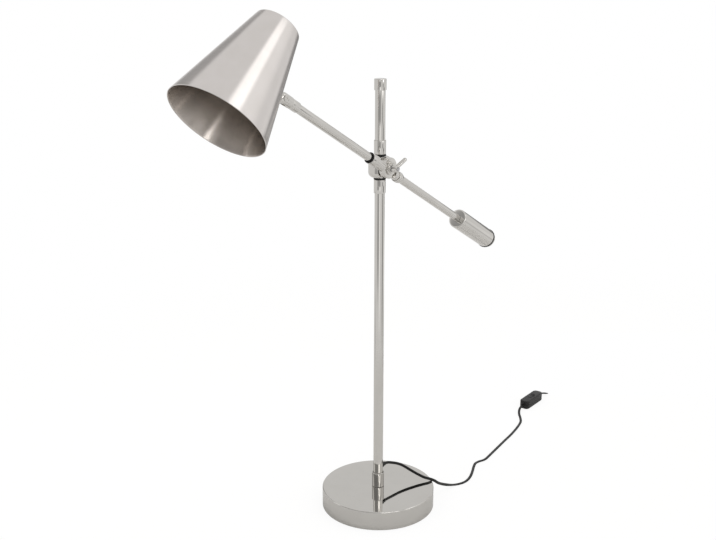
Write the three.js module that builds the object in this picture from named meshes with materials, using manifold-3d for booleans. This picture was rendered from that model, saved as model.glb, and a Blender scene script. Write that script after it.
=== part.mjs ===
// Desk lamp: a weighted round base, a pole with a swivelling hub, a counterbalanced arm that
// tilts on the hub, a spun cone shade on a knuckle, and a flat twin lead with an in-line switch.
// Millimetres, +Z up. The origin is the centre of the base's underside, and the shade looks to -Y.
import * as THREE from 'three';
import { mergeVertices } from 'three/addons/utils/BufferGeometryUtils.js';
import Module from 'manifold-3d';

const wasm = await Module();
wasm.setup();

// Clearances
const seatGap = 0.3; // between pieces that rest on each other
const slipGap = 0.25; // radial, round a tube or screw in its hole
const runGap = 0.3; // beside pieces that turn on each other
const overrun = 2; // how far a cutter reaches past the face that it cuts

// Facets round each kind of piece
const baseFacets = 60;
const shadeFacets = 60;
const tubeFacets = 20;
const smallFacets = 16;

// Base
const baseDiameter = 200;
const baseHeight = 35;
const baseEdgeRadius = 2;
const shellWall = 1.5;
const shellLift = 0.8; // the shell's lower edge above the table
const feltThickness = 2;
const feltInset = 3.5;
const weightRimHeight = 16;
const weightBossDiameter = 44;
const nutPocketDiameter = 32;
const nutPocketDepth = 11;

// Threaded nipples, nuts and washers
const nippleDiameter = 10;
const nippleBore = 7;
const nippleTail = 2; // thread past a nut
const nippleRise = 16; // thread inside the pole's foot
const baseNutAcrossFlats = 17;
const baseNutThickness = 5;
const baseWasherDiameter = 26;
const baseWasherThickness = 1.5;

// Pole
const lampHeight = 761;
const poleDiameter = 17;
const poleWall = 1.2;
const footBushLength = 14; // threaded bush brazed inside the pole's foot
const footFerruleDiameter = 21.6;
const footFerruleHeight = 26.8;
const ferruleEdge = 0.8; // chamfer at a ferrule's rim
const capDiameter = 20;
const capHeight = 18.3;
const capTopThickness = 4;

// Hub on the pole
const hubDrop = 144; // its middle below the lamp's top
const hubHeight = 35.2;
const hubDiameter = 38.6;
const hubCornerRadius = 8.5;
const hubFlatOffset = 9.6; // the flat that the arm bears on, from the pole's axis
const swivelWasherDiameter = 20.6;
const swivelWasherThickness = 3;
const hubFerruleDiameter = 19.8;
const hubFerruleHeight = 23;
const ferruleCapThickness = 5;

// Tilt joint
const armDrop = 4.3; // the arm's axis below the tilt axis, square to the arm
const armTiltDeg = 29.9;
const armOffset = 18; // the arm's axis from the pole's axis, along +X
const tiltBoltDiameter = 6;
const tiltBoltInset = 3.4; // thread in the hub, behind the flat
const tiltWasherDiameter = 28;
const tiltWasherThickness = 1.5;
const carrierDiameter = 35;
const carrierThickness = 10.3;
const carrierBossDiameter = 16.2;
const carrierBossStart = 15;
const frontBossReach = 37.5;
const rearBossReach = 25.2;
const armSpigotDiameter = 11;
const armSpigotLength = 10;
const wireBore = 5.6;
const clampDiscDiameter = 23;
const clampDiscThickness = 3;
const clampStepDiameter = 16;
const clampStepHeight = 2;
const springWasherDiameter = 12;
const springWasherThickness = 1.4;

// Lever nut
const leverNutDiameter = 13;
const leverNutTopDiameter = 10;
const leverNutLength = 8.5;
const leverWidth = 7;
const leverThickness = 5;
const leverRootRadius = 3; // the lever's first centre, from the nut's axis
const leverTipRadius = 19.7; // the lever's last centre, from the nut's axis
const leverSweep = 8.5; // how far the tip stands ahead of the root
const leverRootHeight = 3.6;
const leverAngleDeg = 47; // above the level
const boltTail = 1.5;

// Arm
const frontTubeDiameter = 14;
const frontTubeWall = 1.1;
const frontFerruleEnd = 54;
const frontFerruleDiameter = 21;
const frontFerruleTipDiameter = 18.4;
const frontRingDiameter = 18.6;
const frontRingThickness = 1.8;
const knuckleReach = 285.5; // from the tilt axis to the knuckle's axis, along the arm
const endFerruleDiameter = 16.4;
const endFerruleLength = 17;
const endFerruleCap = 3;
const rearFerruleDiameter = 19;
const rearFerruleLength = 8;
const rearFerruleTaper = 6;
const rearFerruleTipDiameter = 15.4;
const rearRodDiameter = 13.4;
const rearRodWall = 1.3;
const rodEndRecess = 1;

// Counterweight
const weightReach = 239; // from the tilt axis to its front face, along the arm
const weightDiameter = 35;
const weightLength = 112;
const weightEdgeRadius = 2.5;
const weightRingDiameter = 36.4;
const weightRingThickness = 3;
const weightCapDiameter = 32.6;
const weightCapThickness = 5.5;
const knurlDepth = 1;
const knurlCount = 28;

// Knuckle between the arm and the shade
const headTiltDeg = 2; // the shade is raised by this from square to the arm
const knuckleDiameter = 17.6;
const knuckleWidth = 14.4;
const forkSpigotLength = 13.5;
const tongueThickness = 5.8;
const tongueDiameter = 16.8;
const stemDiameter = 10;
const stemReach = 25.3; // from the knuckle's axis to the shade's wall
const stemThread = 8; // thread inside the shade
const knuckleScrewDiameter = 5;
const knuckleHeadDiameter = 9;
const knuckleHeadThickness = 1.8;
const knuckleSeatDiameter = 10.4; // flat faces for the screw's head and its nut
const knuckleNutAcrossFlats = 8;
const knuckleNutThickness = 3;
const flangeDiameter = 20;
const flangeThickness = 2.5;
const shadeNutAcrossFlats = 14;
const shadeNutThickness = 4;

// Shade
const shadeRimDiameter = 153;
const shadeTopDiameter = 68.8;
const shadeLength = 172.4;
const shadeWall = 1.2;
const shadeTopRadius = 2.5;
const shadeAttachHeight = 101.1; // the stem's height above the rim, along the shade's axis

// Lampholder
const holderNippleLength = 22;
const holderNippleRise = 7;
const holderNutAcrossFlats = 15;
const holderNutThickness = 4;
const holderCapDiameter = 34;
const holderCapTopDiameter = 24;
const holderCapHeight = 16;
const holderWall = 2;
const holderSkirtDiameter = 38;
const holderSkirtHeight = 38;
const holderFloor = 4;
const socketDiameter = 27.6;
const sleeveWall = 0.6;
const sleeveLength = 24;
const sleeveInset = 3;
const centreContactDiameter = 11;
const centreContactThickness = 2;

// Lead
const cordWidth = 5.2;
const cordThickness = 2.8;
const cordShoulder = 1; // how far the section's corners are cut back
const wireDiameter = 4.4;
const cordExitDeg = 84; // direction in which the lead leaves the pole, from +X towards +Y
const grommetHeight = 72;
const grommetDiameter = 10;
const grommetFlange = 2.2;
const grommetNeckDiameter = 7.2;
const grommetNeckInset = 2.6;
const grommetTaperLength = 6.6;
const grommetTipDiameter = 6.6;
const leadStepLength = 12.5;
const poleLeadSteps = 44;

// In-line switch
const switchX = -16.5;
const switchY = 567;
const switchTurnDeg = 3;
const switchLength = 72;
const switchWidth = 22;
const switchHeight = 18.5;
const switchCornerRadius = 8;
const switchWall = 1.8;
const rockerLength = 17;
const rockerWidth = 8.6;
const rockerDepth = 2.4; // below the pivot
const rockerPivotDepth = 1.2; // below the cover's wall
const rockerProud = 1.6;
const rockerDip = 0.9;
const rockerAngleDeg = 7;
const pivotPinDiameter = 2;
const pivotPinLength = 1.2;
const pivotBossWidth = 4.4;
const switchScrewPlace = 25; // from the switch's middle
const switchScrewDiameter = 2.6;
const switchScrewHeadDiameter = 4.8;
const switchScrewHeadThickness = 1.2;
const switchPostDiameter = 6.6;
const contactLength = 30;
const contactWidth = 6;
const contactThickness = 1.2;

// Coil of the lead that is put away, with its tie and plug
const coilX = -37;
const coilY = 715;
const coilRadius = 37;
const coilTurns = 5.5;
const coilPitch = 6.6;
const coilLayerStep = 3.8;
const coilClimb = 0.3; // turns, at the innermost turn
const coilLift = 1.3;
const coilStepsPerTurn = 24;
const tieWidth = 6;
const tieThickness = 0.8;
const tieClearance = 0.5;
const plugBootLength = 25;
const plugBootDiameter = 11;
const plugBootTipDiameter = 7.4;
const plugLength = 36;
const plugWidth = 34;
const plugThickness = 12;
const plugTailWidth = 13;
const plugShoulder = 14; // straight part of the sides, from the pin face
const plugFaceInset = 3;
const pinDiameter = 4;
const pinLength = 19;
const pinSpacing = 18.6;

// Finishes
const finishes = {
  nickel: new THREE.MeshStandardMaterial({ color: 0xbdb9b3, metalness: 1, roughness: 0.18 }),
  brushedNickel: new THREE.MeshStandardMaterial({ color: 0xaba5a0, metalness: 1, roughness: 0.34 }),
  steel: new THREE.MeshStandardMaterial({ color: 0x8f9195, metalness: 1, roughness: 0.4 }),
  brass: new THREE.MeshStandardMaterial({ color: 0xc2a15a, metalness: 1, roughness: 0.35 }),
  castIron: new THREE.MeshStandardMaterial({ color: 0x3c3c3d, metalness: 0.6, roughness: 0.8 }),
  felt: new THREE.MeshStandardMaterial({ color: 0x1b1b1c, metalness: 0, roughness: 1 }),
  blackNylon: new THREE.MeshStandardMaterial({ color: 0x101011, metalness: 0, roughness: 0.5 }),
  cable: new THREE.MeshStandardMaterial({ color: 0x0e0e0f, metalness: 0, roughness: 0.45 }),
  bakelite: new THREE.MeshStandardMaterial({ color: 0x151516, metalness: 0, roughness: 0.35 }),
};

const up = new THREE.Vector3(0, 0, 1);
const radians = THREE.MathUtils.degToRad;

// A closed solid from any geometry: one vertex per place, no slivers, faces pointing out
function solid(geometry) {
  const source = geometry.index ? geometry.toNonIndexed() : geometry.clone();
  for (const name of Object.keys(source.attributes)) {
    if (name !== 'position') source.deleteAttribute(name);
  }
  const welded = mergeVertices(source, 0.0005);
  const place = welded.attributes.position;
  const faces = [];
  const corner = [new THREE.Vector3(), new THREE.Vector3(), new THREE.Vector3()];
  let volume = 0;
  for (let i = 0; i < welded.index.count; i += 3) {
    const face = [0, 1, 2].map((k) => welded.index.getX(i + k));
    if (face[0] === face[1] || face[1] === face[2] || face[2] === face[0]) continue;
    face.forEach((vertex, k) => corner[k].fromBufferAttribute(place, vertex));
    volume += corner[0].dot(corner[1].cross(corner[2]));
    faces.push(face);
  }
  if (volume < 0) faces.forEach((face) => face.reverse());
  welded.setIndex(faces.flat());
  return welded;
}

function toManifold(geometry) {
  const closed = solid(geometry);
  return new wasm.Manifold(new wasm.Mesh({
    numProp: 3,
    vertProperties: new Float32Array(closed.attributes.position.array),
    triVerts: new Uint32Array(closed.index.array),
  }));
}

function fromManifold(body) {
  const mesh = body.getMesh();
  const geometry = new THREE.BufferGeometry();
  geometry.setAttribute('position', new THREE.BufferAttribute(mesh.vertProperties, 3));
  geometry.setIndex(new THREE.BufferAttribute(mesh.triVerts, 1));
  return geometry;
}

function join(...geometries) {
  return fromManifold(geometries.map(toManifold).reduce((whole, next) => whole.add(next)));
}

function cut(geometry, ...tools) {
  return fromManifold(tools.map(toManifold).reduce((whole, next) => whole.subtract(next),
    toManifold(geometry)));
}

// A turned piece about +Z from [radius, height] points; a profile off the axis closes on itself
function turned(profile, facets = tubeFacets) {
  const points = profile.map(([radius, height]) => new THREE.Vector2(radius, height));
  const last = points[points.length - 1];
  if (points[0].x > 0 || last.x > 0) points.push(points[0].clone());
  return new THREE.LatheGeometry(points, facets).rotateX(Math.PI / 2);
}

function ring(outer, inner, low, high, facets = tubeFacets) {
  return turned([[inner / 2, low], [outer / 2, low], [outer / 2, high], [inner / 2, high]], facets);
}

function rod(diameter, low, high, facets = tubeFacets) {
  return turned([[0, low], [diameter / 2, low], [diameter / 2, high], [0, high]], facets);
}

// A ring whose two outer edges are chamfered
function bevelledRing(outer, inner, low, high, edge, facets = tubeFacets) {
  return turned([
    [inner / 2, low], [outer / 2 - edge, low], [outer / 2, low + edge],
    [outer / 2, high - edge], [outer / 2 - edge, high], [inner / 2, high],
  ], facets);
}

function block(lowCorner, highCorner) {
  const low = new THREE.Vector3(...lowCorner);
  const high = new THREE.Vector3(...highCorner);
  const size = high.clone().sub(low);
  const middle = low.add(high).divideScalar(2);
  return new THREE.BoxGeometry(size.x, size.y, size.z).translate(middle.x, middle.y, middle.z);
}

function hexNut(acrossFlats, bore, low, high) {
  const outline = new THREE.Shape();
  const reach = acrossFlats / Math.sqrt(3);
  for (let i = 0; i < 6; i++) {
    const angle = i * Math.PI / 3;
    const go = i === 0 ? 'moveTo' : 'lineTo';
    outline[go](reach * Math.cos(angle), reach * Math.sin(angle));
  }
  outline.closePath();
  outline.holes.push(new THREE.Path().absarc(0, 0, bore / 2, 0, 2 * Math.PI, true));
  const nut = new THREE.ExtrudeGeometry(outline, {
    depth: high - low, bevelEnabled: false, curveSegments: smallFacets / 2,
  });
  return nut.translate(0, 0, low);
}

function roundedRectangle(width, length, radius) {
  const x = width / 2 - radius;
  const y = length / 2 - radius;
  const outline = new THREE.Shape();
  outline.absarc(x, y, radius, 0, Math.PI / 2, false);
  outline.absarc(-x, y, radius, Math.PI / 2, Math.PI, false);
  outline.absarc(-x, -y, radius, Math.PI, 1.5 * Math.PI, false);
  outline.absarc(x, -y, radius, 1.5 * Math.PI, 2 * Math.PI, false);
  outline.closePath();
  return outline;
}

// A bar with round ends between two points of a plane, thick about that plane
function roundEndBar(start, end, width, thickness) {
  const along = Math.atan2(end.y - start.y, end.x - start.x);
  const outline = new THREE.Shape();
  outline.absarc(end.x, end.y, width / 2, along - Math.PI / 2, along + Math.PI / 2, false);
  outline.absarc(start.x, start.y, width / 2, along + Math.PI / 2, along + 1.5 * Math.PI, false);
  outline.closePath();
  return slab(outline, thickness);
}

function slab(outline, thickness, curveSegments = smallFacets / 2) {
  const plate = new THREE.ExtrudeGeometry(outline, {
    depth: thickness, bevelEnabled: false, curveSegments,
  });
  return plate.translate(0, 0, -thickness / 2);
}

// Turns a piece made along +Z to lie along +X, or along -Y, the arm's front
const alongX = (geometry) => geometry.rotateY(Math.PI / 2);
const alongFront = (geometry) => geometry.rotateX(Math.PI / 2);
const towardExit = (geometry) => alongX(geometry).rotateZ(radians(cordExitDeg));

// A fillet's points on a profile, from one angle to another
function arcPoints(centreRadius, centreHeight, radius, fromDeg, toDeg, steps) {
  return Array.from({ length: steps + 1 }, (_, i) => {
    const angle = radians(fromDeg + (toDeg - fromDeg) * i / steps);
    return [centreRadius + radius * Math.cos(angle), centreHeight + radius * Math.sin(angle)];
  });
}

const lamp = new THREE.Group();

function add(name, geometry, finish, parent = lamp) {
  const mesh = new THREE.Mesh(solid(geometry), finishes[finish]);
  mesh.name = name;
  parent.add(mesh);
  return mesh;
}

// Base: a spun shell over a cast weight, closed by felt and clamped by a threaded nipple
const nippleHole = nippleDiameter + 2 * slipGap;
const weightBottom = feltThickness + seatGap;
const weightTop = baseHeight - shellWall - seatGap;
const washerTop = weightBottom + nutPocketDepth - seatGap;
const nutTop = washerTop - baseWasherThickness - seatGap;
const poleBottom = baseHeight + seatGap;

function buildBase() {
  const outer = baseDiameter / 2;
  const inner = outer - shellWall;
  const weightRadius = inner - seatGap;
  const rimTop = weightBottom + weightRimHeight;
  add('felt_pad', rod(baseDiameter - 2 * feltInset, 0, feltThickness, baseFacets), 'felt');
  add('base_shell', turned([
    [nippleHole / 2, baseHeight - shellWall], [inner, baseHeight - shellWall],
    [inner, shellLift], [outer, shellLift],
    ...arcPoints(outer - baseEdgeRadius, baseHeight - baseEdgeRadius, baseEdgeRadius, 0, 90, 3),
    [nippleHole / 2, baseHeight],
  ], baseFacets), 'nickel');
  add('base_weight', turned([
    [nutPocketDiameter / 2, weightBottom], [weightRadius, weightBottom],
    [weightRadius, rimTop], [weightBossDiameter / 2, rimTop],
    [weightBossDiameter / 2, weightTop], [nippleHole / 2, weightTop],
    [nippleHole / 2, weightBottom + nutPocketDepth],
    [nutPocketDiameter / 2, weightBottom + nutPocketDepth],
  ], baseFacets), 'castIron');
  add('base_washer', ring(baseWasherDiameter, nippleHole, washerTop - baseWasherThickness,
    washerTop), 'steel');
  add('base_nut', hexNut(baseNutAcrossFlats, nippleHole, nutTop - baseNutThickness, nutTop), 'steel');
  add('base_nipple', ring(nippleDiameter, nippleBore, nutTop - baseNutThickness - nippleTail,
    poleBottom + nippleRise), 'steel');
  add('base_ferrule', bevelledRing(footFerruleDiameter, poleDiameter + 2 * slipGap, poleBottom,
    poleBottom + footFerruleHeight, ferruleEdge), 'nickel');
}

// Pole: two tubes, joined through the hub by a hollow spindle between two capped ferrules
const poleBore = poleDiameter - 2 * poleWall;
const hubCentreHeight = lampHeight - hubDrop;
const tiltHeight = hubCentreHeight;
const hubBottom = hubCentreHeight - hubHeight / 2;
const hubTop = hubCentreHeight + hubHeight / 2;
const lowerWasherBottom = hubBottom - runGap - swivelWasherThickness;
const upperWasherTop = hubTop + runGap + swivelWasherThickness;
const lowerFerruleTop = lowerWasherBottom - seatGap;
const upperFerruleBottom = upperWasherTop + seatGap;
const lowerPoleTop = lowerFerruleTop - ferruleCapThickness - seatGap;
const upperPoleBottom = upperFerruleBottom + ferruleCapThickness + seatGap;
const upperPoleTop = lampHeight - capTopThickness - seatGap;

function cappedFerrule(diameter, height, capThickness, edge) {
  const bore = poleDiameter / 2 + slipGap;
  return turned([
    [nippleHole / 2, 0], [diameter / 2 - edge, 0], [diameter / 2, edge],
    [diameter / 2, height - edge], [diameter / 2 - edge, height], [bore, height],
    [bore, capThickness], [nippleHole / 2, capThickness],
  ]);
}

function buildPole() {
  const tube = ring(poleDiameter, poleBore, poleBottom, lowerPoleTop);
  const footBush = ring(poleBore + poleWall, nippleHole, poleBottom, poleBottom + footBushLength);
  const cordHole = towardExit(rod(grommetNeckDiameter + 2 * slipGap, 0, poleDiameter / 2 + overrun,
    smallFacets)).translate(0, 0, grommetHeight);
  add('pole_lower', cut(join(tube, footBush), cordHole), 'nickel');
  const lowerFerrule = cappedFerrule(hubFerruleDiameter, hubFerruleHeight, ferruleCapThickness,
    ferruleEdge).rotateX(Math.PI).translate(0, 0, lowerFerruleTop);
  add('lower_hub_ferrule', lowerFerrule, 'nickel');
  add('upper_hub_ferrule', cappedFerrule(hubFerruleDiameter, hubFerruleHeight, ferruleCapThickness,
    ferruleEdge).translate(0, 0, upperFerruleBottom), 'nickel');
  add('hub_spindle', ring(nippleDiameter, nippleBore, lowerPoleTop - nippleTail,
    upperPoleBottom + nippleTail), 'steel');
  for (const [name, low] of [['lower_swivel_washer', lowerWasherBottom],
    ['upper_swivel_washer', hubTop + runGap]]) {
    add(name, ring(swivelWasherDiameter, nippleHole, low, low + swivelWasherThickness), 'blackNylon');
  }
  add('pole_upper', ring(poleDiameter, poleBore, upperPoleBottom, upperPoleTop), 'nickel');
  const capBore = poleDiameter / 2 + slipGap;
  add('top_cap', turned([
    [0, lampHeight - capTopThickness], [capBore, lampHeight - capTopThickness],
    [capBore, lampHeight - capHeight], [capDiameter / 2, lampHeight - capHeight],
    ...arcPoints(capDiameter / 2 - ferruleEdge, lampHeight - ferruleEdge, ferruleEdge, 0, 90, 2),
    [0, lampHeight],
  ]), 'nickel');
}

// Where the lead leaves the pole: a grommet with a saddle flange and a tapered sleeve
const grommetFace = poleDiameter / 2 + grommetFlange;
const grommetTip = grommetFace + grommetTaperLength;
const grommetNeckEnd = poleDiameter / 2 - grommetNeckInset;
const exitWay = new THREE.Vector3(Math.cos(radians(cordExitDeg)), Math.sin(radians(cordExitDeg)), 0);

function buildGrommet() {
  const body = turned([
    [0, grommetNeckEnd], [grommetNeckDiameter / 2, grommetNeckEnd],
    [grommetNeckDiameter / 2, grommetNeckEnd + seatGap], [grommetDiameter / 2, grommetNeckEnd + seatGap],
    [grommetDiameter / 2, grommetFace - ferruleEdge], [grommetDiameter / 2 - ferruleEdge, grommetFace],
    [grommetTipDiameter / 2 + ferruleEdge, grommetFace], [grommetTipDiameter / 2, grommetTip],
    [0, grommetTip],
  ]);
  const poleSpace = cut(rod(poleDiameter + 2 * slipGap, -grommetDiameter, grommetDiameter),
    towardExit(rod(grommetNeckDiameter, -grommetFace, grommetFace)));
  const seated = cut(towardExit(body), poleSpace);
  add('cord_grommet', seated.translate(0, 0, grommetHeight), 'blackNylon');
}

// Wire in the pole: from the grommet's neck up into the spindle
function buildPoleLead() {
  const start = grommetNeckEnd - 2 * seatGap;
  const bend = wireDiameter * 2;
  const place = (reach, height) => exitWay.clone().multiplyScalar(reach).setZ(height);
  const route = new THREE.CatmullRomCurve3([
    place(start, grommetHeight),
    place(start / 2, grommetHeight),
    place(-start / 4, grommetHeight + bend),
    place(0, grommetHeight + 2 * bend),
    place(0, (grommetHeight + hubBottom) / 2),
    place(0, hubBottom),
  ]);
  add('pole_lead', wireAlong(route, poleLeadSteps), 'cable');
}

function wireAlong(route, steps) {
  const section = new THREE.Shape().absarc(0, 0, wireDiameter / 2, 0, 2 * Math.PI, false);
  return new THREE.ExtrudeGeometry(section, { steps, extrudePath: route, curveSegments: 4 });
}

// Hub: a barrel that swings on the spindle, flat where the arm bears on it
const swing = new THREE.Group();
lamp.add(swing);
const boltHole = tiltBoltDiameter + 2 * slipGap;
const washerStart = hubFlatOffset + seatGap;
const carrierStart = washerStart + tiltWasherThickness + seatGap;
const carrierEnd = carrierStart + carrierThickness;
const clampStart = carrierEnd + runGap;
const clampEnd = clampStart + clampDiscThickness + clampStepHeight;
const springStart = clampEnd + seatGap;
const leverStart = springStart + springWasherThickness + seatGap;
const boltStart = hubFlatOffset - tiltBoltInset;
const boltEnd = leverStart + leverNutLength + boltTail;

function buildHub() {
  const radius = hubDiameter / 2;
  const core = radius - hubCornerRadius;
  const barrel = turned([
    [nippleHole / 2, hubBottom],
    ...arcPoints(core, hubBottom + hubCornerRadius, hubCornerRadius, -90, 0, 4),
    ...arcPoints(core, hubTop - hubCornerRadius, hubCornerRadius, 0, 90, 4),
    [nippleHole / 2, hubTop],
  ], tubeFacets + smallFacets / 2);
  const flat = block([hubFlatOffset, -radius - overrun, hubBottom - overrun],
    [radius + overrun, radius + overrun, hubTop + overrun]);
  const hole = alongX(rod(boltHole, boltStart - seatGap, radius, smallFacets))
    .translate(0, 0, tiltHeight);
  add('hub_body', cut(barrel, flat, hole), 'nickel', swing);
  const joint = new THREE.Group();
  joint.position.z = tiltHeight;
  swing.add(joint);
  add('tilt_bolt', alongX(rod(tiltBoltDiameter, boltStart, boltEnd, smallFacets)), 'steel', joint);
  add('tilt_washer', alongX(ring(tiltWasherDiameter, boltHole, washerStart,
    washerStart + tiltWasherThickness)), 'blackNylon', joint);
  const stepStart = clampStart + clampDiscThickness;
  const edge = ferruleEdge;
  add('clamp_disc', alongX(turned([
    [boltHole / 2, clampStart], [clampDiscDiameter / 2, clampStart],
    [clampDiscDiameter / 2, stepStart - edge], [clampDiscDiameter / 2 - edge, stepStart],
    [clampStepDiameter / 2, stepStart], [clampStepDiameter / 2, clampEnd - edge],
    [clampStepDiameter / 2 - edge, clampEnd], [boltHole / 2, clampEnd],
  ])), 'nickel', joint);
  add('spring_washer', alongX(ring(springWasherDiameter, boltHole, springStart,
    springStart + springWasherThickness, smallFacets)), 'steel', joint);
  add('lever_nut', leverNut(), 'nickel', joint);
}

function leverNut() {
  const body = turned([
    [boltHole / 2, leverStart], [leverNutDiameter / 2, leverStart],
    [leverNutTopDiameter / 2, leverStart + leverNutLength],
    [boltHole / 2, leverStart + leverNutLength],
  ]);
  const root = new THREE.Vector2(leverRootRadius, leverStart + leverRootHeight);
  const tip = new THREE.Vector2(leverTipRadius, root.y + leverSweep);
  const lever = roundEndBar(root, tip, leverWidth, leverThickness).rotateX(Math.PI / 2);
  const hole = rod(boltHole, leverStart - overrun, boltEnd + overrun);
  return alongX(cut(join(body, lever), hole)).rotateX(Math.PI / 2 + radians(leverAngleDeg));
}

// Arm: a carrier disc on the bolt, the front tube, and the rear rod with its counterweight
const arm = new THREE.Group();
arm.position.set(0, 0, tiltHeight);
arm.rotation.x = -radians(armTiltDeg);
swing.add(arm);
const forward = (geometry) => alongFront(geometry).translate(armOffset, 0, -armDrop);
const backward = (geometry) => alongFront(geometry).rotateZ(Math.PI)
  .translate(armOffset, 0, -armDrop);
const frontTubeBore = frontTubeDiameter - 2 * frontTubeWall;
const frontFerruleStart = frontBossReach + seatGap;
const frontTubeStart = frontFerruleStart + ferruleCapThickness;
const frontRingStart = frontFerruleEnd + seatGap;
const forkStart = knuckleReach - knuckleDiameter;
const endFerruleStart = forkStart - seatGap - endFerruleLength;
const frontTubeEnd = forkStart - seatGap - endFerruleCap - seatGap;
const rearFerruleStart = rearBossReach + seatGap;
const rearFerruleEnd = rearFerruleStart + rearFerruleLength + rearFerruleTaper;
const weightEnd = weightReach + weightLength;
const weightRingStart = weightEnd + seatGap;
const weightCapStart = weightRingStart + weightRingThickness + seatGap;
const weightCapEnd = weightCapStart + weightCapThickness;

function buildCarrier() {
  const disc = alongX(rod(carrierDiameter, carrierStart, carrierEnd, tubeFacets + smallFacets / 2));
  const front = forward(rod(carrierBossDiameter, carrierBossStart, frontBossReach));
  const rear = backward(rod(carrierBossDiameter, carrierBossStart, rearBossReach));
  const spigotEnd = frontTubeStart + armSpigotLength;
  const spigot = forward(rod(armSpigotDiameter, frontBossReach - overrun, spigotEnd));
  const rearSpigotEnd = rearFerruleStart + armSpigotLength;
  const rearSpigot = backward(rod(rearRodDiameter - 2 * rearRodWall - 2 * slipGap,
    rearBossReach - overrun, rearSpigotEnd));
  const wireHole = forward(rod(wireBore, tiltBoltDiameter + armDrop, spigotEnd + overrun, smallFacets));
  const hole = alongX(rod(boltHole, carrierStart - overrun, carrierEnd + overrun, smallFacets));
  const carrier = cut(join(disc, front, rear, spigot, rearSpigot), wireHole, hole);
  add('arm_carrier', carrier, 'nickel', arm);
}

function buildFrontArm() {
  const tubeHole = frontTubeDiameter + 2 * slipGap;
  const spigotHole = armSpigotDiameter + 2 * slipGap;
  add('front_ferrule', forward(turned([
    [spigotHole / 2, frontFerruleStart], [frontFerruleDiameter / 2 - ferruleEdge, frontFerruleStart],
    [frontFerruleDiameter / 2, frontFerruleStart + ferruleEdge],
    [frontFerruleTipDiameter / 2, frontFerruleEnd], [tubeHole / 2, frontFerruleEnd],
    [tubeHole / 2, frontTubeStart - seatGap], [spigotHole / 2, frontTubeStart - seatGap],
  ])), 'nickel', arm);
  add('front_ring', forward(bevelledRing(frontRingDiameter, tubeHole, frontRingStart,
    frontRingStart + frontRingThickness, ferruleEdge / 2)), 'blackNylon', arm);
  add('front_tube', forward(ring(frontTubeDiameter, frontTubeBore, frontTubeStart, frontTubeEnd)),
    'nickel', arm);
  add('arm_end_ferrule', forward(turned([
    [nippleHole / 2, forkStart - seatGap], [endFerruleDiameter / 2 - ferruleEdge, forkStart - seatGap],
    [endFerruleDiameter / 2, forkStart - seatGap - ferruleEdge],
    [endFerruleDiameter / 2, endFerruleStart + ferruleEdge],
    [endFerruleDiameter / 2 - ferruleEdge, endFerruleStart], [tubeHole / 2, endFerruleStart],
    [tubeHole / 2, frontTubeEnd + seatGap], [nippleHole / 2, frontTubeEnd + seatGap],
  ])), 'nickel', arm);
  const wireStart = frontBossReach;
  add('arm_lead', forward(rod(wireDiameter, wireStart, forkStart - seatGap, smallFacets / 2)),
    'cable', arm);
}

function buildRearArm() {
  const rodHole = rearRodDiameter + 2 * slipGap;
  const straightEnd = rearFerruleStart + rearFerruleLength;
  add('rear_ferrule', backward(turned([
    [rodHole / 2, rearFerruleStart], [rearFerruleDiameter / 2 - ferruleEdge, rearFerruleStart],
    [rearFerruleDiameter / 2, rearFerruleStart + ferruleEdge], [rearFerruleDiameter / 2, straightEnd],
    [rearFerruleTipDiameter / 2, rearFerruleEnd], [rodHole / 2, rearFerruleEnd],
  ])), 'nickel', arm);
  add('rear_rod', backward(ring(rearRodDiameter, rearRodDiameter - 2 * rearRodWall,
    rearFerruleStart, weightCapEnd - rodEndRecess)), 'nickel', arm);
  const radius = weightDiameter / 2;
  const corner = radius - weightEdgeRadius;
  add('counterweight', backward(turned([
    [rodHole / 2, weightReach],
    ...arcPoints(corner, weightReach + weightEdgeRadius, weightEdgeRadius, -90, 0, 3),
    [radius, weightEnd], [rodHole / 2, weightEnd],
  ], tubeFacets + smallFacets / 2)), 'nickel', arm);
  add('weight_ring', backward(bevelledRing(weightRingDiameter, rodHole, weightRingStart,
    weightRingStart + weightRingThickness, ferruleEdge)), 'blackNylon', arm);
  add('weight_cap', backward(knurledCap(rodHole)), 'nickel', arm);
}

function knurledCap(rodHole) {
  const outline = new THREE.Shape();
  for (let i = 0; i < 2 * knurlCount; i++) {
    const radius = weightCapDiameter / 2 - (i % 2) * knurlDepth;
    const angle = i * Math.PI / knurlCount;
    const go = i === 0 ? 'moveTo' : 'lineTo';
    outline[go](radius * Math.cos(angle), radius * Math.sin(angle));
  }
  outline.closePath();
  outline.holes.push(new THREE.Path().absarc(0, 0, rodHole / 2, 0, 2 * Math.PI, true));
  const cap = new THREE.ExtrudeGeometry(outline, {
    depth: weightCapThickness, bevelEnabled: false, curveSegments: smallFacets / 2,
  });
  return cap.translate(0, 0, weightCapStart);
}

// Knuckle: a fork on the arm, a tongue on the shade's stem, and the screw through both
const knuckle = new THREE.Group();
knuckle.position.set(armOffset, -knuckleReach, -armDrop);
arm.add(knuckle);
const head = new THREE.Group();
head.rotation.x = -radians(headTiltDeg);
knuckle.add(head);
const screwHole = knuckleScrewDiameter + 2 * slipGap;
const slotWidth = tongueThickness + 2 * runGap;
const halfKnuckle = knuckleWidth / 2;

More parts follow.
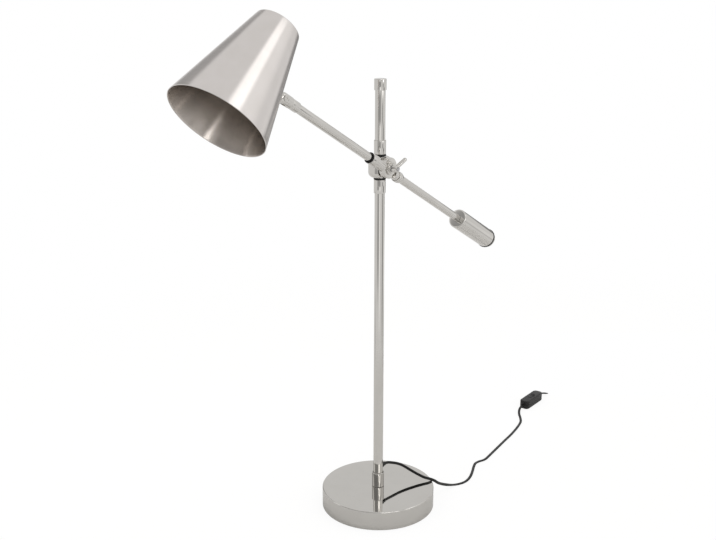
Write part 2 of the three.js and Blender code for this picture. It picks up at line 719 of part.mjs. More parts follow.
function buildKnuckle() {
  const radius = knuckleDiameter / 2;
  const nose = arcPoints(0, 0, radius, 0, 90, 7).slice(0, -1);
  const barrel = alongFront(turned([[0, -knuckleDiameter], [radius, -knuckleDiameter], ...nose,
    [0, radius]]));
  const spigot = alongFront(rod(nippleDiameter, -knuckleDiameter - forkSpigotLength,
    -knuckleDiameter / 2));
  const seat = alongX(rod(knuckleSeatDiameter, halfKnuckle, knuckleDiameter, smallFacets));
  const nutSeat = alongX(rod(knuckleSeatDiameter, -knuckleDiameter, -halfKnuckle, smallFacets));
  const slot = block([-slotWidth / 2, -knuckleDiameter, -knuckleDiameter],
    [slotWidth / 2, tongueDiameter / 2 + 2 * runGap, knuckleDiameter]);
  const hole = alongX(rod(screwHole, -knuckleWidth, knuckleWidth, smallFacets));
  const wireHole = alongFront(rod(wireBore, -knuckleDiameter - forkSpigotLength - overrun, 0,
    smallFacets));
  add('knuckle_fork', cut(join(barrel, spigot), slot, seat, nutSeat, hole, wireHole), 'nickel', knuckle);
  const headStart = halfKnuckle + seatGap;
  const screwEnd = headStart + knuckleNutThickness + boltTail;
  add('knuckle_screw', alongX(join(
    rod(knuckleScrewDiameter, -screwEnd, headStart + overrun / 2, smallFacets),
    turned([[0, headStart], [knuckleHeadDiameter / 2, headStart],
      [knuckleHeadDiameter / 2, headStart + knuckleHeadThickness - ferruleEdge],
      [knuckleHeadDiameter / 2 - ferruleEdge, headStart + knuckleHeadThickness],
      [0, headStart + knuckleHeadThickness]], smallFacets))), 'nickel', knuckle);
  add('knuckle_nut', alongX(hexNut(knuckleNutAcrossFlats, screwHole,
    -headStart - knuckleNutThickness, -headStart)), 'nickel', knuckle);
}

const stemEnd = stemReach + shadeWall + stemThread;
const earClearance = knuckleDiameter / 2 + 2 * runGap;

function buildStem() {
  const disc = alongX(rod(tongueDiameter, -tongueThickness / 2, tongueThickness / 2));
  const web = block([-tongueThickness / 2, -earClearance - overrun, -stemDiameter / 2],
    [tongueThickness / 2, 0, stemDiameter / 2]);
  const stem = alongFront(rod(stemDiameter, earClearance, stemEnd));
  const hole = alongX(rod(screwHole, -knuckleWidth, knuckleWidth, smallFacets));
  const wireHole = alongFront(rod(wireBore, earClearance + overrun, stemEnd + overrun, smallFacets));
  add('knuckle_tongue', cut(join(disc, web, stem), hole, wireHole), 'nickel', head);
  const stemHole = stemDiameter + 2 * slipGap;
  add('shade_flange', alongFront(bevelledRing(flangeDiameter, stemHole,
    stemReach - seatGap - flangeThickness, stemReach - seatGap, ferruleEdge)), 'nickel', head);
  // the wall curves away from the flat nut, so the nut's corners touch first
  const corner = shadeNutAcrossFlats / Math.sqrt(3);
  const nutStart = stemReach + shadeWall + corner * corner / (2 * attachRadius) + seatGap;
  add('shade_nut', alongFront(hexNut(shadeNutAcrossFlats, stemHole, nutStart,
    nutStart + shadeNutThickness)), 'steel', head);
}

// Shade: a spun cone, hung by its wall on the stem; its rim is at height zero of its own frame
const rimRadius = shadeRimDiameter / 2;
const topRadius = shadeTopDiameter / 2;
const flare = Math.atan2(rimRadius - topRadius, shadeLength);
const attachRadius = rimRadius - shadeAttachHeight * Math.tan(flare);
const shade = new THREE.Group();
shade.rotation.x = -flare;
shade.position.set(0,
  -stemReach - attachRadius * Math.cos(flare) - shadeAttachHeight * Math.sin(flare),
  attachRadius * Math.sin(flare) - shadeAttachHeight * Math.cos(flare));
head.add(shade);
const capInside = shadeLength - shadeWall;
const slantWall = shadeWall / Math.cos(flare);

function buildShade() {
  const radiusAt = (height) => rimRadius - height * Math.tan(flare);
  const roundStart = shadeLength - shadeTopRadius * (1 - Math.sin(flare));
  const roundCentre = radiusAt(roundStart) - shadeTopRadius * Math.cos(flare);
  const cone = turned([
    [nippleHole / 2, capInside], [radiusAt(capInside) - slantWall - shadeWall, capInside],
    [radiusAt(capInside - shadeTopRadius) - slantWall, capInside - shadeTopRadius],
    [rimRadius - slantWall, 0], [rimRadius, 0],
    ...arcPoints(roundCentre, shadeLength - shadeTopRadius, shadeTopRadius,
      THREE.MathUtils.radToDeg(flare), 90, 3),
    [nippleHole / 2, shadeLength],
  ], shadeFacets);
  const stemCutter = alongFront(rod(stemDiameter + 2 * slipGap, -overrun - shadeWall, overrun))
    .rotateX(flare).translate(0, attachRadius, shadeAttachHeight);
  add('shade', cut(cone, stemCutter), 'brushedNickel', shade);
}

// Lampholder: a cap on the nipple and a skirt with the screw sleeve and the centre contact
const holderTop = capInside - seatGap;
const holderCapBottom = holderTop - holderCapHeight;
const skirtTop = holderCapBottom - seatGap;
const skirtBottom = skirtTop - holderSkirtHeight;
const socketTop = skirtTop - holderFloor;

function buildLampholder() {
  const nippleTop = shadeLength + holderNippleRise;
  add('holder_nipple', ring(nippleDiameter, nippleBore, nippleTop - holderNippleLength, nippleTop),
    'steel', shade);
  add('holder_nut', hexNut(holderNutAcrossFlats, nippleHole, shadeLength + seatGap,
    shadeLength + seatGap + holderNutThickness), 'nickel', shade);
  add('lampholder_cap', turned([
    [nippleHole / 2, holderTop - holderWall], [holderCapTopDiameter / 2 - holderWall,
      holderTop - holderWall],
    [holderCapDiameter / 2 - holderWall, holderCapBottom], [holderCapDiameter / 2, holderCapBottom],
    [holderCapDiameter / 2, holderCapBottom + holderFloor], [holderCapTopDiameter / 2, holderTop],
    [nippleHole / 2, holderTop],
  ]), 'bakelite', shade);
  add('lampholder_skirt', turned([
    [wireBore / 2, socketTop], [socketDiameter / 2, socketTop], [socketDiameter / 2, skirtBottom],
    [holderSkirtDiameter / 2, skirtBottom], [holderSkirtDiameter / 2, skirtTop - holderFloor],
    [holderCapDiameter / 2, skirtTop], [wireBore / 2, skirtTop],
  ]), 'bakelite', shade);
  const sleeveOuter = socketDiameter - 2 * slipGap;
  const sleeveBottom = skirtBottom + sleeveInset;
  add('lampholder_sleeve', ring(sleeveOuter, sleeveOuter - 2 * sleeveWall, sleeveBottom,
    sleeveBottom + sleeveLength), 'brass', shade);
  add('lampholder_contact', rod(centreContactDiameter, socketTop - seatGap - centreContactThickness,
    socketTop - seatGap, smallFacets), 'brass', shade);
  // wire from the stem's end up the wall to the lampholder's cap, in the shade's own frame
  const stemExit = new THREE.Vector3(0, -stemEnd - seatGap, 0);
  stemExit.sub(shade.position).applyAxisAngle(new THREE.Vector3(1, 0, 0), flare);
  const capSide = (holderCapTopDiameter + holderCapDiameter) / 4 + wireDiameter;
  const route = new THREE.CatmullRomCurve3([
    stemExit,
    new THREE.Vector3(0, stemExit.y - stemThread / 2, stemExit.z),
    new THREE.Vector3(0, (stemExit.y + 2 * holderSkirtDiameter / 2) / 3 + wireDiameter,
      (skirtBottom + skirtTop) / 2),
    new THREE.Vector3(0, holderCapDiameter / 2 + wireDiameter, skirtTop),
    new THREE.Vector3(0, capSide, (holderTop + holderCapBottom) / 2),
  ]);
  add('holder_lead', wireAlong(route, smallFacets), 'cable', shade);
}

// The lead's section keeps its wide side level all along its route
function levelFrames(tangents) {
  const normals = tangents.map((tangent) => new THREE.Vector3().crossVectors(up, tangent).normalize());
  const binormals = tangents.map((tangent, i) => new THREE.Vector3().crossVectors(tangent, normals[i]));
  return { tangents, normals, binormals };
}

class LevelRoute extends THREE.CatmullRomCurve3 {
  computeFrenetFrames(segments) {
    return levelFrames(Array.from({ length: segments + 1 }, (_, i) => this.getTangentAt(i / segments)));
  }
}

// Loops that spiral in on the lower layer, climb at the inner turn, and spiral out on the upper.
// Each end runs straight on for one step.
class FlatCoil extends THREE.Curve {
  constructor() {
    super();
    this.straightTurns = 1 / coilStepsPerTurn;
    this.steps = Math.round((coilTurns + 2 * this.straightTurns) * coilStepsPerTurn);
  }

  getPoint(t, target = new THREE.Vector3()) {
    const whole = coilTurns + 2 * this.straightTurns;
    const turn = t * whole - this.straightTurns;
    if (turn < 0) return this.beyondEnd(0, turn, target);
    if (turn > coilTurns) return this.beyondEnd(coilTurns, turn - coilTurns, target);
    return this.onTurn(turn, target);
  }

  onTurn(turn, target) {
    const radius = coilRadius - coilPitch * Math.min(turn, coilTurns - turn);
    const climbStart = (coilTurns - coilClimb) / 2;
    const climb = THREE.MathUtils.smoothstep(turn, climbStart, climbStart + coilClimb);
    const angle = 2 * Math.PI * turn;
    return target.set(coilX + radius * Math.cos(angle), coilY + radius * Math.sin(angle),
      coilLift + cordThickness / 2 + coilLayerStep * climb);
  }

  beyondEnd(turn, extra, target) {
    const angle = 2 * Math.PI * turn;
    const reach = 2 * Math.PI * coilRadius * extra;
    this.onTurn(turn, target);
    return target.add(new THREE.Vector3(-Math.sin(angle), Math.cos(angle), 0).multiplyScalar(reach));
  }

  // the steps are equal turns, so that neighbouring turns have their corners side by side
  getSpacedPoints(segments) {
    return this.getPoints(segments);
  }

  computeFrenetFrames(segments) {
    return levelFrames(Array.from({ length: segments + 1 }, (_, i) => this.getTangent(i / segments)));
  }

  leastGap() {
    const samples = Math.round(coilTurns * coilStepsPerTurn * 4);
    const points = Array.from({ length: samples + 1 },
      (_, i) => this.onTurn(coilTurns * i / samples, new THREE.Vector3()));
    const half = Math.round(samples / coilTurns / 2);
    let least = Infinity;
    for (let i = 0; i < points.length; i++) {
      for (let j = i + half; j < points.length; j++) {
        const across = Math.hypot(points[i].x - points[j].x, points[i].y - points[j].y);
        const above = Math.abs(points[i].z - points[j].z);
        least = Math.min(least, Math.hypot(Math.max(across - cordWidth, 0),
          Math.max(above - cordThickness, 0)));
      }
    }
    return least;
  }
}

function flatSection(cutBack) {
  const x = cordWidth / 2;
  const y = cordThickness / 2;
  const outline = new THREE.Shape();
  outline.moveTo(x, -y + cutBack);
  outline.lineTo(x, y - cutBack);
  outline.lineTo(x - cutBack, y);
  outline.lineTo(-x + cutBack, y);
  outline.lineTo(-x, y - cutBack);
  outline.lineTo(-x, -y + cutBack);
  outline.lineTo(-x + cutBack, -y);
  outline.lineTo(x - cutBack, -y);
  outline.closePath();
  return outline;
}

function hexSection() {
  const x = cordWidth / 2;
  const y = cordThickness / 2;
  const outline = new THREE.Shape();
  outline.moveTo(x, 0);
  outline.lineTo(x - cordShoulder, y);
  outline.lineTo(-x + cordShoulder, y);
  outline.lineTo(-x, 0);
  outline.lineTo(-x + cordShoulder, -y);
  outline.lineTo(x - cordShoulder, -y);
  outline.closePath();
  return outline;
}

function leadAlong(points) {
  const route = new LevelRoute(points.map((point) => new THREE.Vector3(...point)), false, 'centripetal');
  route.arcLengthDivisions = 400;
  const length = route.getLength();
  const steps = Math.round(length / leadStepLength);
  return { length, geometry: new THREE.ExtrudeGeometry(flatSection(cordShoulder),
    { steps, extrudePath: route }) };
}

// Routes of the two free stretches of the lead, point by point
const leadRoute = [
  [1.9, 17.9, 72], [3.4, 25.5, 71.1], [6.9, 33, 68.7], [10.6, 40.2, 66], [15.5, 46.2, 62.8],
  [21.8, 50.6, 59], [28.5, 53.8, 55], [35.9, 57, 51], [42.2, 60, 47.6], [55.2, 66.4, 41.6],
  [60.6, 70.6, 39.7], [64.8, 75.6, 37], [67.2, 81.4, 33], [68, 88.6, 27], [67.4, 99, 20.2],
  [67.5, 114.5, 12], [69.4, 131, 5.2], [72.4, 143, 2], [75.8, 151, 1.5], [78.6, 160, 1.5],
  [79, 170.5, 1.5], [75.3, 187.4, 1.5], [67, 207.2, 1.5], [56.8, 228, 1.5], [52, 241, 1.5],
  [52.8, 252, 1.5], [56, 261.5, 1.5], [56.8, 271, 1.5], [55.2, 281.5, 1.5], [48.8, 320.3, 1.5],
  [41.9, 361.5, 1.5], [35.1, 403.5, 1.5], [25.6, 444, 1.5], [17.6, 467, 1.5], [7.7, 481.9, 1.8],
  [-3.5, 495.5, 3.4], [-10.2, 506.6, 5.7], [-13.4, 516, 8], [-14.2, 523.5, 9.2],
  [-14.6, 530.7, 9.25],
];
const tailRoute = [
  [-18.4, 603.3, 9.25], [-18.6, 610, 9.1], [-17.8, 619, 7.4], [-15.2, 630, 4.6], [-11.5, 642, 2.4],
  [-7.5, 654, 1.6], [-4, 666, 1.5], [-1.5, 678, 1.6], [-0.3, 689, 2.2], [0, 698, 2.6],
  [0, 705, 2.7],
];

function buildLead() {
  const coil = new FlatCoil();
  const lead = leadAlong(leadRoute);
  const tail = leadAlong(tailRoute);
  add('cord_lead', lead.geometry, 'cable');
  add('cord_tail', tail.geometry, 'cable');
  add('cord_coil', new THREE.ExtrudeGeometry(hexSection(), { steps: coil.steps, extrudePath: coil }),
    'cable');
  const coilLength = coil.getLength();
  console.log(`lead to the switch ${lead.length.toFixed(0)} mm, switch to the coil `
    + `${tail.length.toFixed(0)} mm, coil ${coilLength.toFixed(0)} mm`);
  console.log(`least gap between the coil's turns ${coil.leastGap().toFixed(2)} mm`);
  const outerSide = coilRadius + cordWidth / 2 + tieClearance;
  const innerSide = coilRadius - coilPitch * coilTurns / 2 - cordWidth / 2 - tieClearance;
  const low = coilLift - seatGap;
  const high = coilLift + cordThickness + coilLayerStep + seatGap;
  add('coil_tie', cut(
    block([coilX - tieWidth / 2, coilY + innerSide - tieThickness, low - tieThickness],
      [coilX + tieWidth / 2, coilY + outerSide + tieThickness, high + tieThickness]),
    block([coilX - tieWidth, coilY + innerSide, low], [coilX + tieWidth, coilY + outerSide, high]),
  ), 'blackNylon');
}

// Plug: it lies beside the coil, in line with the coil's last straight
function buildPlug() {
  const plug = new THREE.Group();
  const straight = 2 * Math.PI * coilRadius / coilStepsPerTurn;
  plug.position.set(coilX - coilRadius, coilY - straight - seatGap,
    coilLift + cordThickness / 2 + coilLayerStep);
  lamp.add(plug);
  const plugEnd = plugBootLength + plugLength;
  const boot = alongFront(turned([
    [0, 0], [plugBootTipDiameter / 2, 0], [plugBootDiameter / 2, plugBootLength],
    [plugBootDiameter / 2, plugBootLength + overrun], [0, plugBootLength + overrun],
  ], smallFacets));
  const outline = new THREE.Shape();
  const sides = [
    [plugTailWidth / 2, -plugBootLength],
    [plugWidth / 2, -(plugEnd - plugShoulder)],
    [plugWidth / 2, -(plugEnd - plugFaceInset)],
    [plugWidth / 2 - plugFaceInset, -plugEnd],
  ];
  outline.moveTo(...sides[0]);
  sides.slice(1).forEach(([x, y]) => outline.lineTo(x, y));
  sides.reverse().forEach(([x, y]) => outline.lineTo(-x, y));
  outline.closePath();
  const lift = plugThickness / 2 - plug.position.z;
  add('plug_body', join(boot, slab(outline, plugThickness).translate(0, 0, lift)), 'bakelite', plug);
  for (const [name, side] of [['plug_pin_left', -1], ['plug_pin_right', 1]]) {
    const pin = alongFront(rod(pinDiameter, plugEnd + seatGap, plugEnd + pinLength, smallFacets));
    add(name, pin.translate(side * pinSpacing / 2, 0, lift), 'nickel', plug);
  }
}

// In-line switch: two halves held by a screw, a rocker on stub pins, and a contact strip
function buildSwitch() {
  const unit = new THREE.Group();
  unit.position.set(switchX, switchY, 0);
  unit.rotation.z = radians(switchTurnDeg);
  lamp.add(unit);
  const split = switchHeight / 2;
  const coverLow = split + seatGap;
  const roof = switchHeight - switchWall;
  const shell = (inset, low, high) => new THREE.ExtrudeGeometry(
    roundedRectangle(switchWidth - 2 * inset, switchLength - 2 * inset, switchCornerRadius - inset),
    { depth: high - low, bevelEnabled: false, curveSegments: smallFacets / 4 },
  ).translate(0, 0, low);
  const atScrew = (geometry) => geometry.translate(0, switchScrewPlace, 0);
  const headTop = switchScrewHeadThickness + seatGap;
  const shankHole = switchScrewDiameter + 2 * slipGap;
  const screwTop = split + switchWall;
  const base = cut(shell(0, 0, split), shell(switchWall, switchWall, split + overrun));
  add('switch_base', cut(join(base, atScrew(rod(switchPostDiameter, 0, split, smallFacets))),
    atScrew(rod(switchScrewHeadDiameter + 2 * slipGap, -overrun, headTop, smallFacets)),
    atScrew(rod(shankHole, 0, switchHeight, smallFacets))), 'bakelite', unit);
  add('switch_screw', atScrew(join(
    rod(switchScrewHeadDiameter, seatGap / 2, switchScrewHeadThickness, smallFacets),
    rod(switchScrewDiameter, seatGap, screwTop, smallFacets))), 'steel', unit);
  const pivotHeight = roof - rockerPivotDepth;
  const windowX = rockerWidth / 2 + runGap;
  const windowY = rockerLength / 2 + 2 * runGap;
  const bossEnd = windowX + pivotPinLength + seatGap + switchWall / 2;
  const bosses = [-1, 1].map((side) => block(
    [side > 0 ? windowX : -bossEnd, -pivotBossWidth / 2, pivotHeight - pivotBossWidth / 2],
    [side > 0 ? bossEnd : -windowX, pivotBossWidth / 2, roof + switchWall / 2]));
  const cover = cut(shell(0, coverLow, switchHeight), shell(switchWall, coverLow - overrun, roof));
  const window = block([-windowX, -windowY, coverLow], [windowX, windowY, switchHeight + overrun]);
  const pinHole = alongX(rod(pivotPinDiameter + 2 * slipGap, -windowX - pivotPinLength - seatGap,
    windowX + pivotPinLength + seatGap, smallFacets)).translate(0, 0, pivotHeight);
  add('switch_cover', cut(join(cover, ...bosses,
    atScrew(rod(switchPostDiameter, coverLow, roof + switchWall / 2, smallFacets))),
  window, pinHole, atScrew(rod(shankHole, 0, screwTop + seatGap, smallFacets))), 'bakelite', unit);
  const floor = switchWall + seatGap;
  add('switch_contact', block([-contactWidth / 2, -contactLength / 2, floor],
    [contactWidth / 2, contactLength / 2, floor + contactThickness]), 'brass', unit);
  const rocker = new THREE.Group();
  rocker.position.z = pivotHeight;
  rocker.rotation.x = radians(rockerAngleDeg);
  unit.add(rocker);
  const top = rockerPivotDepth + switchWall + rockerProud;
  const side = new THREE.Shape();
  side.moveTo(-rockerLength / 2, top);
  side.lineTo(0, top - rockerDip);
  side.lineTo(rockerLength / 2, top);
  side.lineTo(rockerLength / 2, 0);
  side.lineTo(rockerLength / 4, -rockerDepth);
  side.lineTo(-rockerLength / 4, -rockerDepth);
  side.lineTo(-rockerLength / 2, 0);
  side.closePath();
  const button = slab(side, rockerWidth).rotateY(Math.PI / 2).rotateX(Math.PI / 2);
  const pinEnd = rockerWidth / 2 + pivotPinLength;
  add('switch_rocker', join(button, alongX(rod(pivotPinDiameter, -pinEnd, pinEnd, smallFacets))),
    'bakelite', rocker);
}

buildBase();
buildPole();
buildGrommet();
buildPoleLead();
buildHub();
buildCarrier();
buildFrontArm();
buildRearArm();
buildKnuckle();
buildStem();
buildShade();
buildLampholder();
buildLead();
buildPlug();
buildSwitch();

export default lamp;
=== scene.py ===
import math
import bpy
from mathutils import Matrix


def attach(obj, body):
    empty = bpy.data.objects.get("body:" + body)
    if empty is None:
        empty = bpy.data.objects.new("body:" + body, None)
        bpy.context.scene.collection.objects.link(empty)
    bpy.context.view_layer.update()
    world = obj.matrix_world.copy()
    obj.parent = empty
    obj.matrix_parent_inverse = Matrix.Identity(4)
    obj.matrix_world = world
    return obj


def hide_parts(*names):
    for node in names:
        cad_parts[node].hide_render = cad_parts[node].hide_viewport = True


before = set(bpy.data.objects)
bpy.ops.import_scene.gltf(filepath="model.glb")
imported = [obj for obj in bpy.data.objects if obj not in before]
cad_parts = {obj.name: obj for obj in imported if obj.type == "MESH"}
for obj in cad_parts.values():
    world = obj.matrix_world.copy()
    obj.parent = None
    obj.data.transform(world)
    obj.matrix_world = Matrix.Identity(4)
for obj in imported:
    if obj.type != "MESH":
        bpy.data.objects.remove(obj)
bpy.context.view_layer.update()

from types import SimpleNamespace

import bmesh
import bpy
from mathutils import Matrix, Vector

print("frame loaded")

mm = 0.001
seatGap = 0.3  # mm between pieces that rest on each other
slipGap = 0.25  # mm round a tube or a screw in its hole
overrun = 3  # mm that a cutting solid reaches past what it cuts
overlap = 1  # mm that two joined forms share
edgeAngle = 38  # degrees between two faces, from which their edge is rounded
up = Vector((0, 0, 1))


def turnX(degrees):
    return Matrix.Rotation(math.radians(degrees), 4, "X")


def turnY(degrees):
    return Matrix.Rotation(math.radians(degrees), 4, "Y")


def turnZ(degrees):
    return Matrix.Rotation(math.radians(degrees), 4, "Z")


def shift(x, y, z):
    return Matrix.Translation((x * mm, y * mm, z * mm))


def sizesOf(piece):
    return SimpleNamespace(**piece)


def smoothStep(share):
    share = min(1.0, max(0.0, share))
    return share * share * (3 - 2 * share)


def linkObject(name, data):
    item = bpy.data.objects.new(name, data)
    bpy.context.scene.collection.objects.link(item)
    return item


view = dict(
    place=(1079.1, -1370.6, 947.0),  # mm
    turn=39.4,  # degrees round the lamp, from in front of the shade
    pitch=16.24,  # degrees down
    focalPixels=1069.0,
    imageWidth=716,
    sensor=36.0,
    reach=20,  # m
)


def addCamera():
    camData = bpy.data.cameras.new("viewCamera")
    camData.sensor_width = view["sensor"]
    camData.sensor_fit = "HORIZONTAL"
    camData.lens = view["focalPixels"] / view["imageWidth"] * view["sensor"]
    camData.clip_end = view["reach"]
    camera = linkObject("viewCamera", camData)
    camera.location = Vector(view["place"]) * mm
    camera.rotation_euler = (math.radians(90 - view["pitch"]), 0, math.radians(view["turn"]))
    bpy.context.scene.camera = camera


addCamera()
print("camera placed")


def feed(socket, value):
    # an output that comes in is linked, and any other value is set on the socket itself
    if isinstance(value, bpy.types.NodeSocket):
        socket.id_data.links.new(value, socket)
    else:
        socket.default_value = value


def fill(node, **inputs):
    for name, value in inputs.items():
        feed(node.inputs[name.replace("_", " ")], value)


def addNode(tree, kind, output, settings=None, **inputs):
    node = tree.nodes.new("ShaderNode" + kind)
    for name, value in (settings or {}).items():
        setattr(node, name, value)
    fill(node, **inputs)
    return node.outputs[output]


def newMaterial(name):
    material = bpy.data.materials.new(name)
    material.use_nodes = True
    return material, material.node_tree, material.node_tree.nodes["Principled BSDF"]


def coordinates(tree, kind, scale=(1, 1, 1)):
    return addNode(tree, "Mapping", "Vector", Vector=addNode(tree, "TexCoord", kind), Scale=scale)


def noiseAt(tree, place, scale, detail, rough=0.55):
    return addNode(tree, "TexNoise", "Fac", Vector=place, Scale=scale, Detail=detail,
                   Roughness=rough)


def between(tree, value, low, high, fromLow=0.3, fromHigh=0.7, kind="LINEAR"):
    return addNode(tree, "MapRange", "Result", dict(interpolation_type=kind), Value=value,
                   From_Min=fromLow, From_Max=fromHigh, To_Min=low, To_Max=high)


def fading(tree, value, near, far):
    # 1 below the near value and 0 above the far one
    return between(tree, value, 1.0, 0.0, near, far, "SMOOTHSTEP")


def mixColors(tree, factor, *colors):
    first, second = (c if isinstance(c, bpy.types.NodeSocket) else (*c, 1) for c in colors)
    return addNode(tree, "Mix", "Result", dict(data_type="RGBA"), Factor=factor, A=first, B=second)


def bumpFrom(tree, height, strength, distance):
    return addNode(tree, "Bump", "Normal", Strength=strength, Distance=distance, Height=height)


nickel = dict(color=(0.69, 0.675, 0.65), shade=(0.665, 0.65, 0.625), rough=(0.045, 0.075))
spunNickel = dict(color=(0.765, 0.73, 0.715), shade=(0.74, 0.705, 0.685), rough=(0.17, 0.22),
                  spread=0.88)
spunInside = dict(
    color=(0.63, 0.585, 0.55), shade=(0.57, 0.53, 0.49), rough=(0.24, 0.27), spread=0.88,
    deep=(0.30, 0.265, 0.235), fade=(190, 155),  # painted shade deep inside the hollow, fading out over these mm along the wall towards the rim
)
# a darker copy of the polished nickel: painted shade for the foot ferrule's dark reflections
shadedFootNickel = dict(color=(0.55, 0.535, 0.515), shade=(0.52, 0.505, 0.485), rough=(0.045, 0.075))
basePlate = dict(color=(0.635, 0.622, 0.6), shade=(0.62, 0.607, 0.585), rough=(0.03, 0.045))
steel = dict(color=(0.52, 0.52, 0.53), shade=(0.40, 0.40, 0.41), rough=(0.28, 0.45))
brass = dict(color=(0.78, 0.60, 0.30), shade=(0.60, 0.43, 0.20), rough=(0.22, 0.38))
felt = dict(color=(0.008, 0.008, 0.009), worn=(0.035, 0.035, 0.037), sheen=0.5)
iron = dict(color=(0.03, 0.03, 0.03), worn=(0.09, 0.085, 0.08), rough=(0.55, 0.85))
plastics = dict(
    switchBlack=dict(color=(0.010, 0.010, 0.011), worn=(0.017, 0.017, 0.018), rough=(0.30, 0.42)),
    plugBlack=dict(color=(0.010, 0.010, 0.011), worn=(0.018, 0.018, 0.019), rough=(0.34, 0.5)),
    nylonBlack=dict(color=(0.006, 0.006, 0.006), worn=(0.010, 0.010, 0.010), rough=(0.38, 0.55)),
    sheathBlack=dict(color=(0.006, 0.006, 0.006), worn=(0.010, 0.010, 0.010), rough=(0.30, 0.46)),
    holderBlack=dict(color=(0.02, 0.019, 0.018), worn=(0.034, 0.033, 0.031), rough=(0.22, 0.36)),
)


def metalMaterial(name, finish, grain=(0.02, 1.2, 1.0), source="UV", bump=0.006):
    # long marks run round a turned piece, and a slow cloud tints the plating
    material, tree, shader = newMaterial(name)
    marks = noiseAt(tree, coordinates(tree, source, grain), 1.0, 4.0, 0.6)
    cloud = noiseAt(tree, coordinates(tree, "Object"), 38.0, 2.0)
    tone = mixColors(tree, between(tree, cloud, 0.0, 1.0, 0.35, 0.7), finish["color"],
                     finish["shade"])
    # deeper in a hollow the colour darkens to a painted shade
    if "deep" in finish:
        along = addNode(tree, "SeparateXYZ", "Y", Vector=coordinates(tree, "UV"))
        tone = mixColors(tree, between(tree, along, 0.0, 1.0, *finish["fade"]), tone,
                         finish["deep"])
    fill(shader, Metallic=1.0, Base_Color=tone, Roughness=between(tree, marks, *finish["rough"]),
         Normal=bumpFrom(tree, marks, bump, 0.0004))
    if "spread" in finish:
        # spinning marks run round the shade, so reflections are drawn out along it
        around = addNode(tree, "Tangent", "Tangent", dict(direction_type="UV_MAP", uv_map="round"))
        fill(shader, Anisotropic=finish["spread"], Anisotropic_Rotation=0.25, Tangent=around)
    return material


def plasticMaterial(name, look):
    material, tree, shader = newMaterial(name)
    place = coordinates(tree, "Object")
    grain = noiseAt(tree, place, 900.0, 2.0)
    wear = noiseAt(tree, place, 55.0, 4.0, 0.6)
    fill(shader, Specular_IOR_Level=0.35, Roughness=between(tree, wear, *look["rough"]),
         Base_Color=mixColors(tree, between(tree, wear, 0.0, 1.0, 0.4, 0.75), look["color"],
                              look["worn"]),
         Normal=bumpFrom(tree, grain, 0.12, 0.0002))
    return material


def feltMaterial():
    material, tree, shader = newMaterial("baseFelt")
    fibre = noiseAt(tree, coordinates(tree, "Object"), 1400.0, 6.0, 0.7)
    fill(shader, Roughness=1.0, Sheen_Weight=felt["sheen"],
         Base_Color=mixColors(tree, fibre, felt["color"], felt["worn"]),
         Normal=bumpFrom(tree, fibre, 0.6, 0.0006))
    return material


def castMaterial():
    material, tree, shader = newMaterial("castIron")
    skin = noiseAt(tree, coordinates(tree, "Object"), 420.0, 6.0, 0.7)
    fill(shader, Metallic=0.7, Roughness=between(tree, skin, *iron["rough"]),
         Base_Color=mixColors(tree, skin, iron["color"], iron["worn"]),
         Normal=bumpFrom(tree, skin, 0.5, 0.0008))
    return material


finishes = dict(
    nickel=metalMaterial("polishedNickel", nickel),
    nickelPlain=metalMaterial("polishedNickelForms", nickel, (260, 260, 260), "Object"),
    foot=metalMaterial("shadedFootNickel", shadedFootNickel),
    base=metalMaterial("baseNickel", basePlate, (0.01, 1.6, 1.0), bump=0.003),
    shadeOutside=metalMaterial("shadeNickel", spunNickel, (0.012, 1.1, 1.0), bump=0.012),
    shadeInside=metalMaterial("shadeInsideNickel", spunInside, (0.012, 1.4, 1.0), bump=0.008),
    steel=metalMaterial("plainSteel", steel, (420, 420, 420), "Object", 0.06),
    brass=metalMaterial("holderBrass", brass, (350, 350, 350), "Object", 0.04),
    felt=feltMaterial(),
    cast=castMaterial(),
    **{name: plasticMaterial(name, look) for name, look in plastics.items()},
)
print("finishes made")


def makePiece(name, mesh, finish, body, nodes=None, smoothAngle=34):
    # a piece stands for the CAD node that has its name, unless nodes says otherwise
    mesh.name = name
    mesh.materials.append(finishes[finish])
    mesh.shade_smooth()
    mesh.set_sharp_from_angle(angle=math.radians(smoothAngle))
    piece = linkObject(name, mesh)
    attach(piece, body)
    if nodes is None:
        nodes = ["".join("_" + c.lower() if c.isupper() else c for c in name)]
    if nodes:
        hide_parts(*nodes)
    return piece


def arc(centre, radius, start, end, steps):
    angles = [math.radians(start + (end - start) * k / steps) for k in range(steps + 1)]
    return [(centre[0] + radius * math.cos(a), centre[1] + radius * math.sin(a)) for a in angles]


def eased(profile, radius, closed=True, steps=3):
    # rounds the corners of a profile, so that each edge catches the light
    points = [Vector(point) for point in profile]
    result = []
    for i, here in enumerate(points):
        if not closed and i in (0, len(points) - 1):
            result.append(here)
            continue
        toBefore, toAfter = points[i - 1] - here, points[(i + 1) % len(points)] - here
        reach = min(radius, toBefore.length * 0.45, toAfter.length * 0.45)
        start = here + toBefore.normalized() * reach
        end = here + toAfter.normalized() * reach
        for k in range(steps + 1):
            t = k / steps
            result.append(start * (1 - t) ** 2 + here * 2 * t * (1 - t) + end * t * t)
    return [tuple(point) for point in result]


def byDiameter(*points):
    return [(diameter / 2, height) for diameter, height in points]


def ringProfile(outer, inner, low, high):
    return byDiameter((inner, low), (outer, low), (outer, high), (inner, high))


def discProfile(outer, low, high):
    return ringProfile(outer, 0, low, high)


def closeMesh(name, builder, place):
    bmesh.ops.recalc_face_normals(builder, faces=builder.faces[:])
    mesh = bpy.data.meshes.new(name)
    builder.to_mesh(mesh)
    builder.free()
    mesh.transform(place)
    return mesh


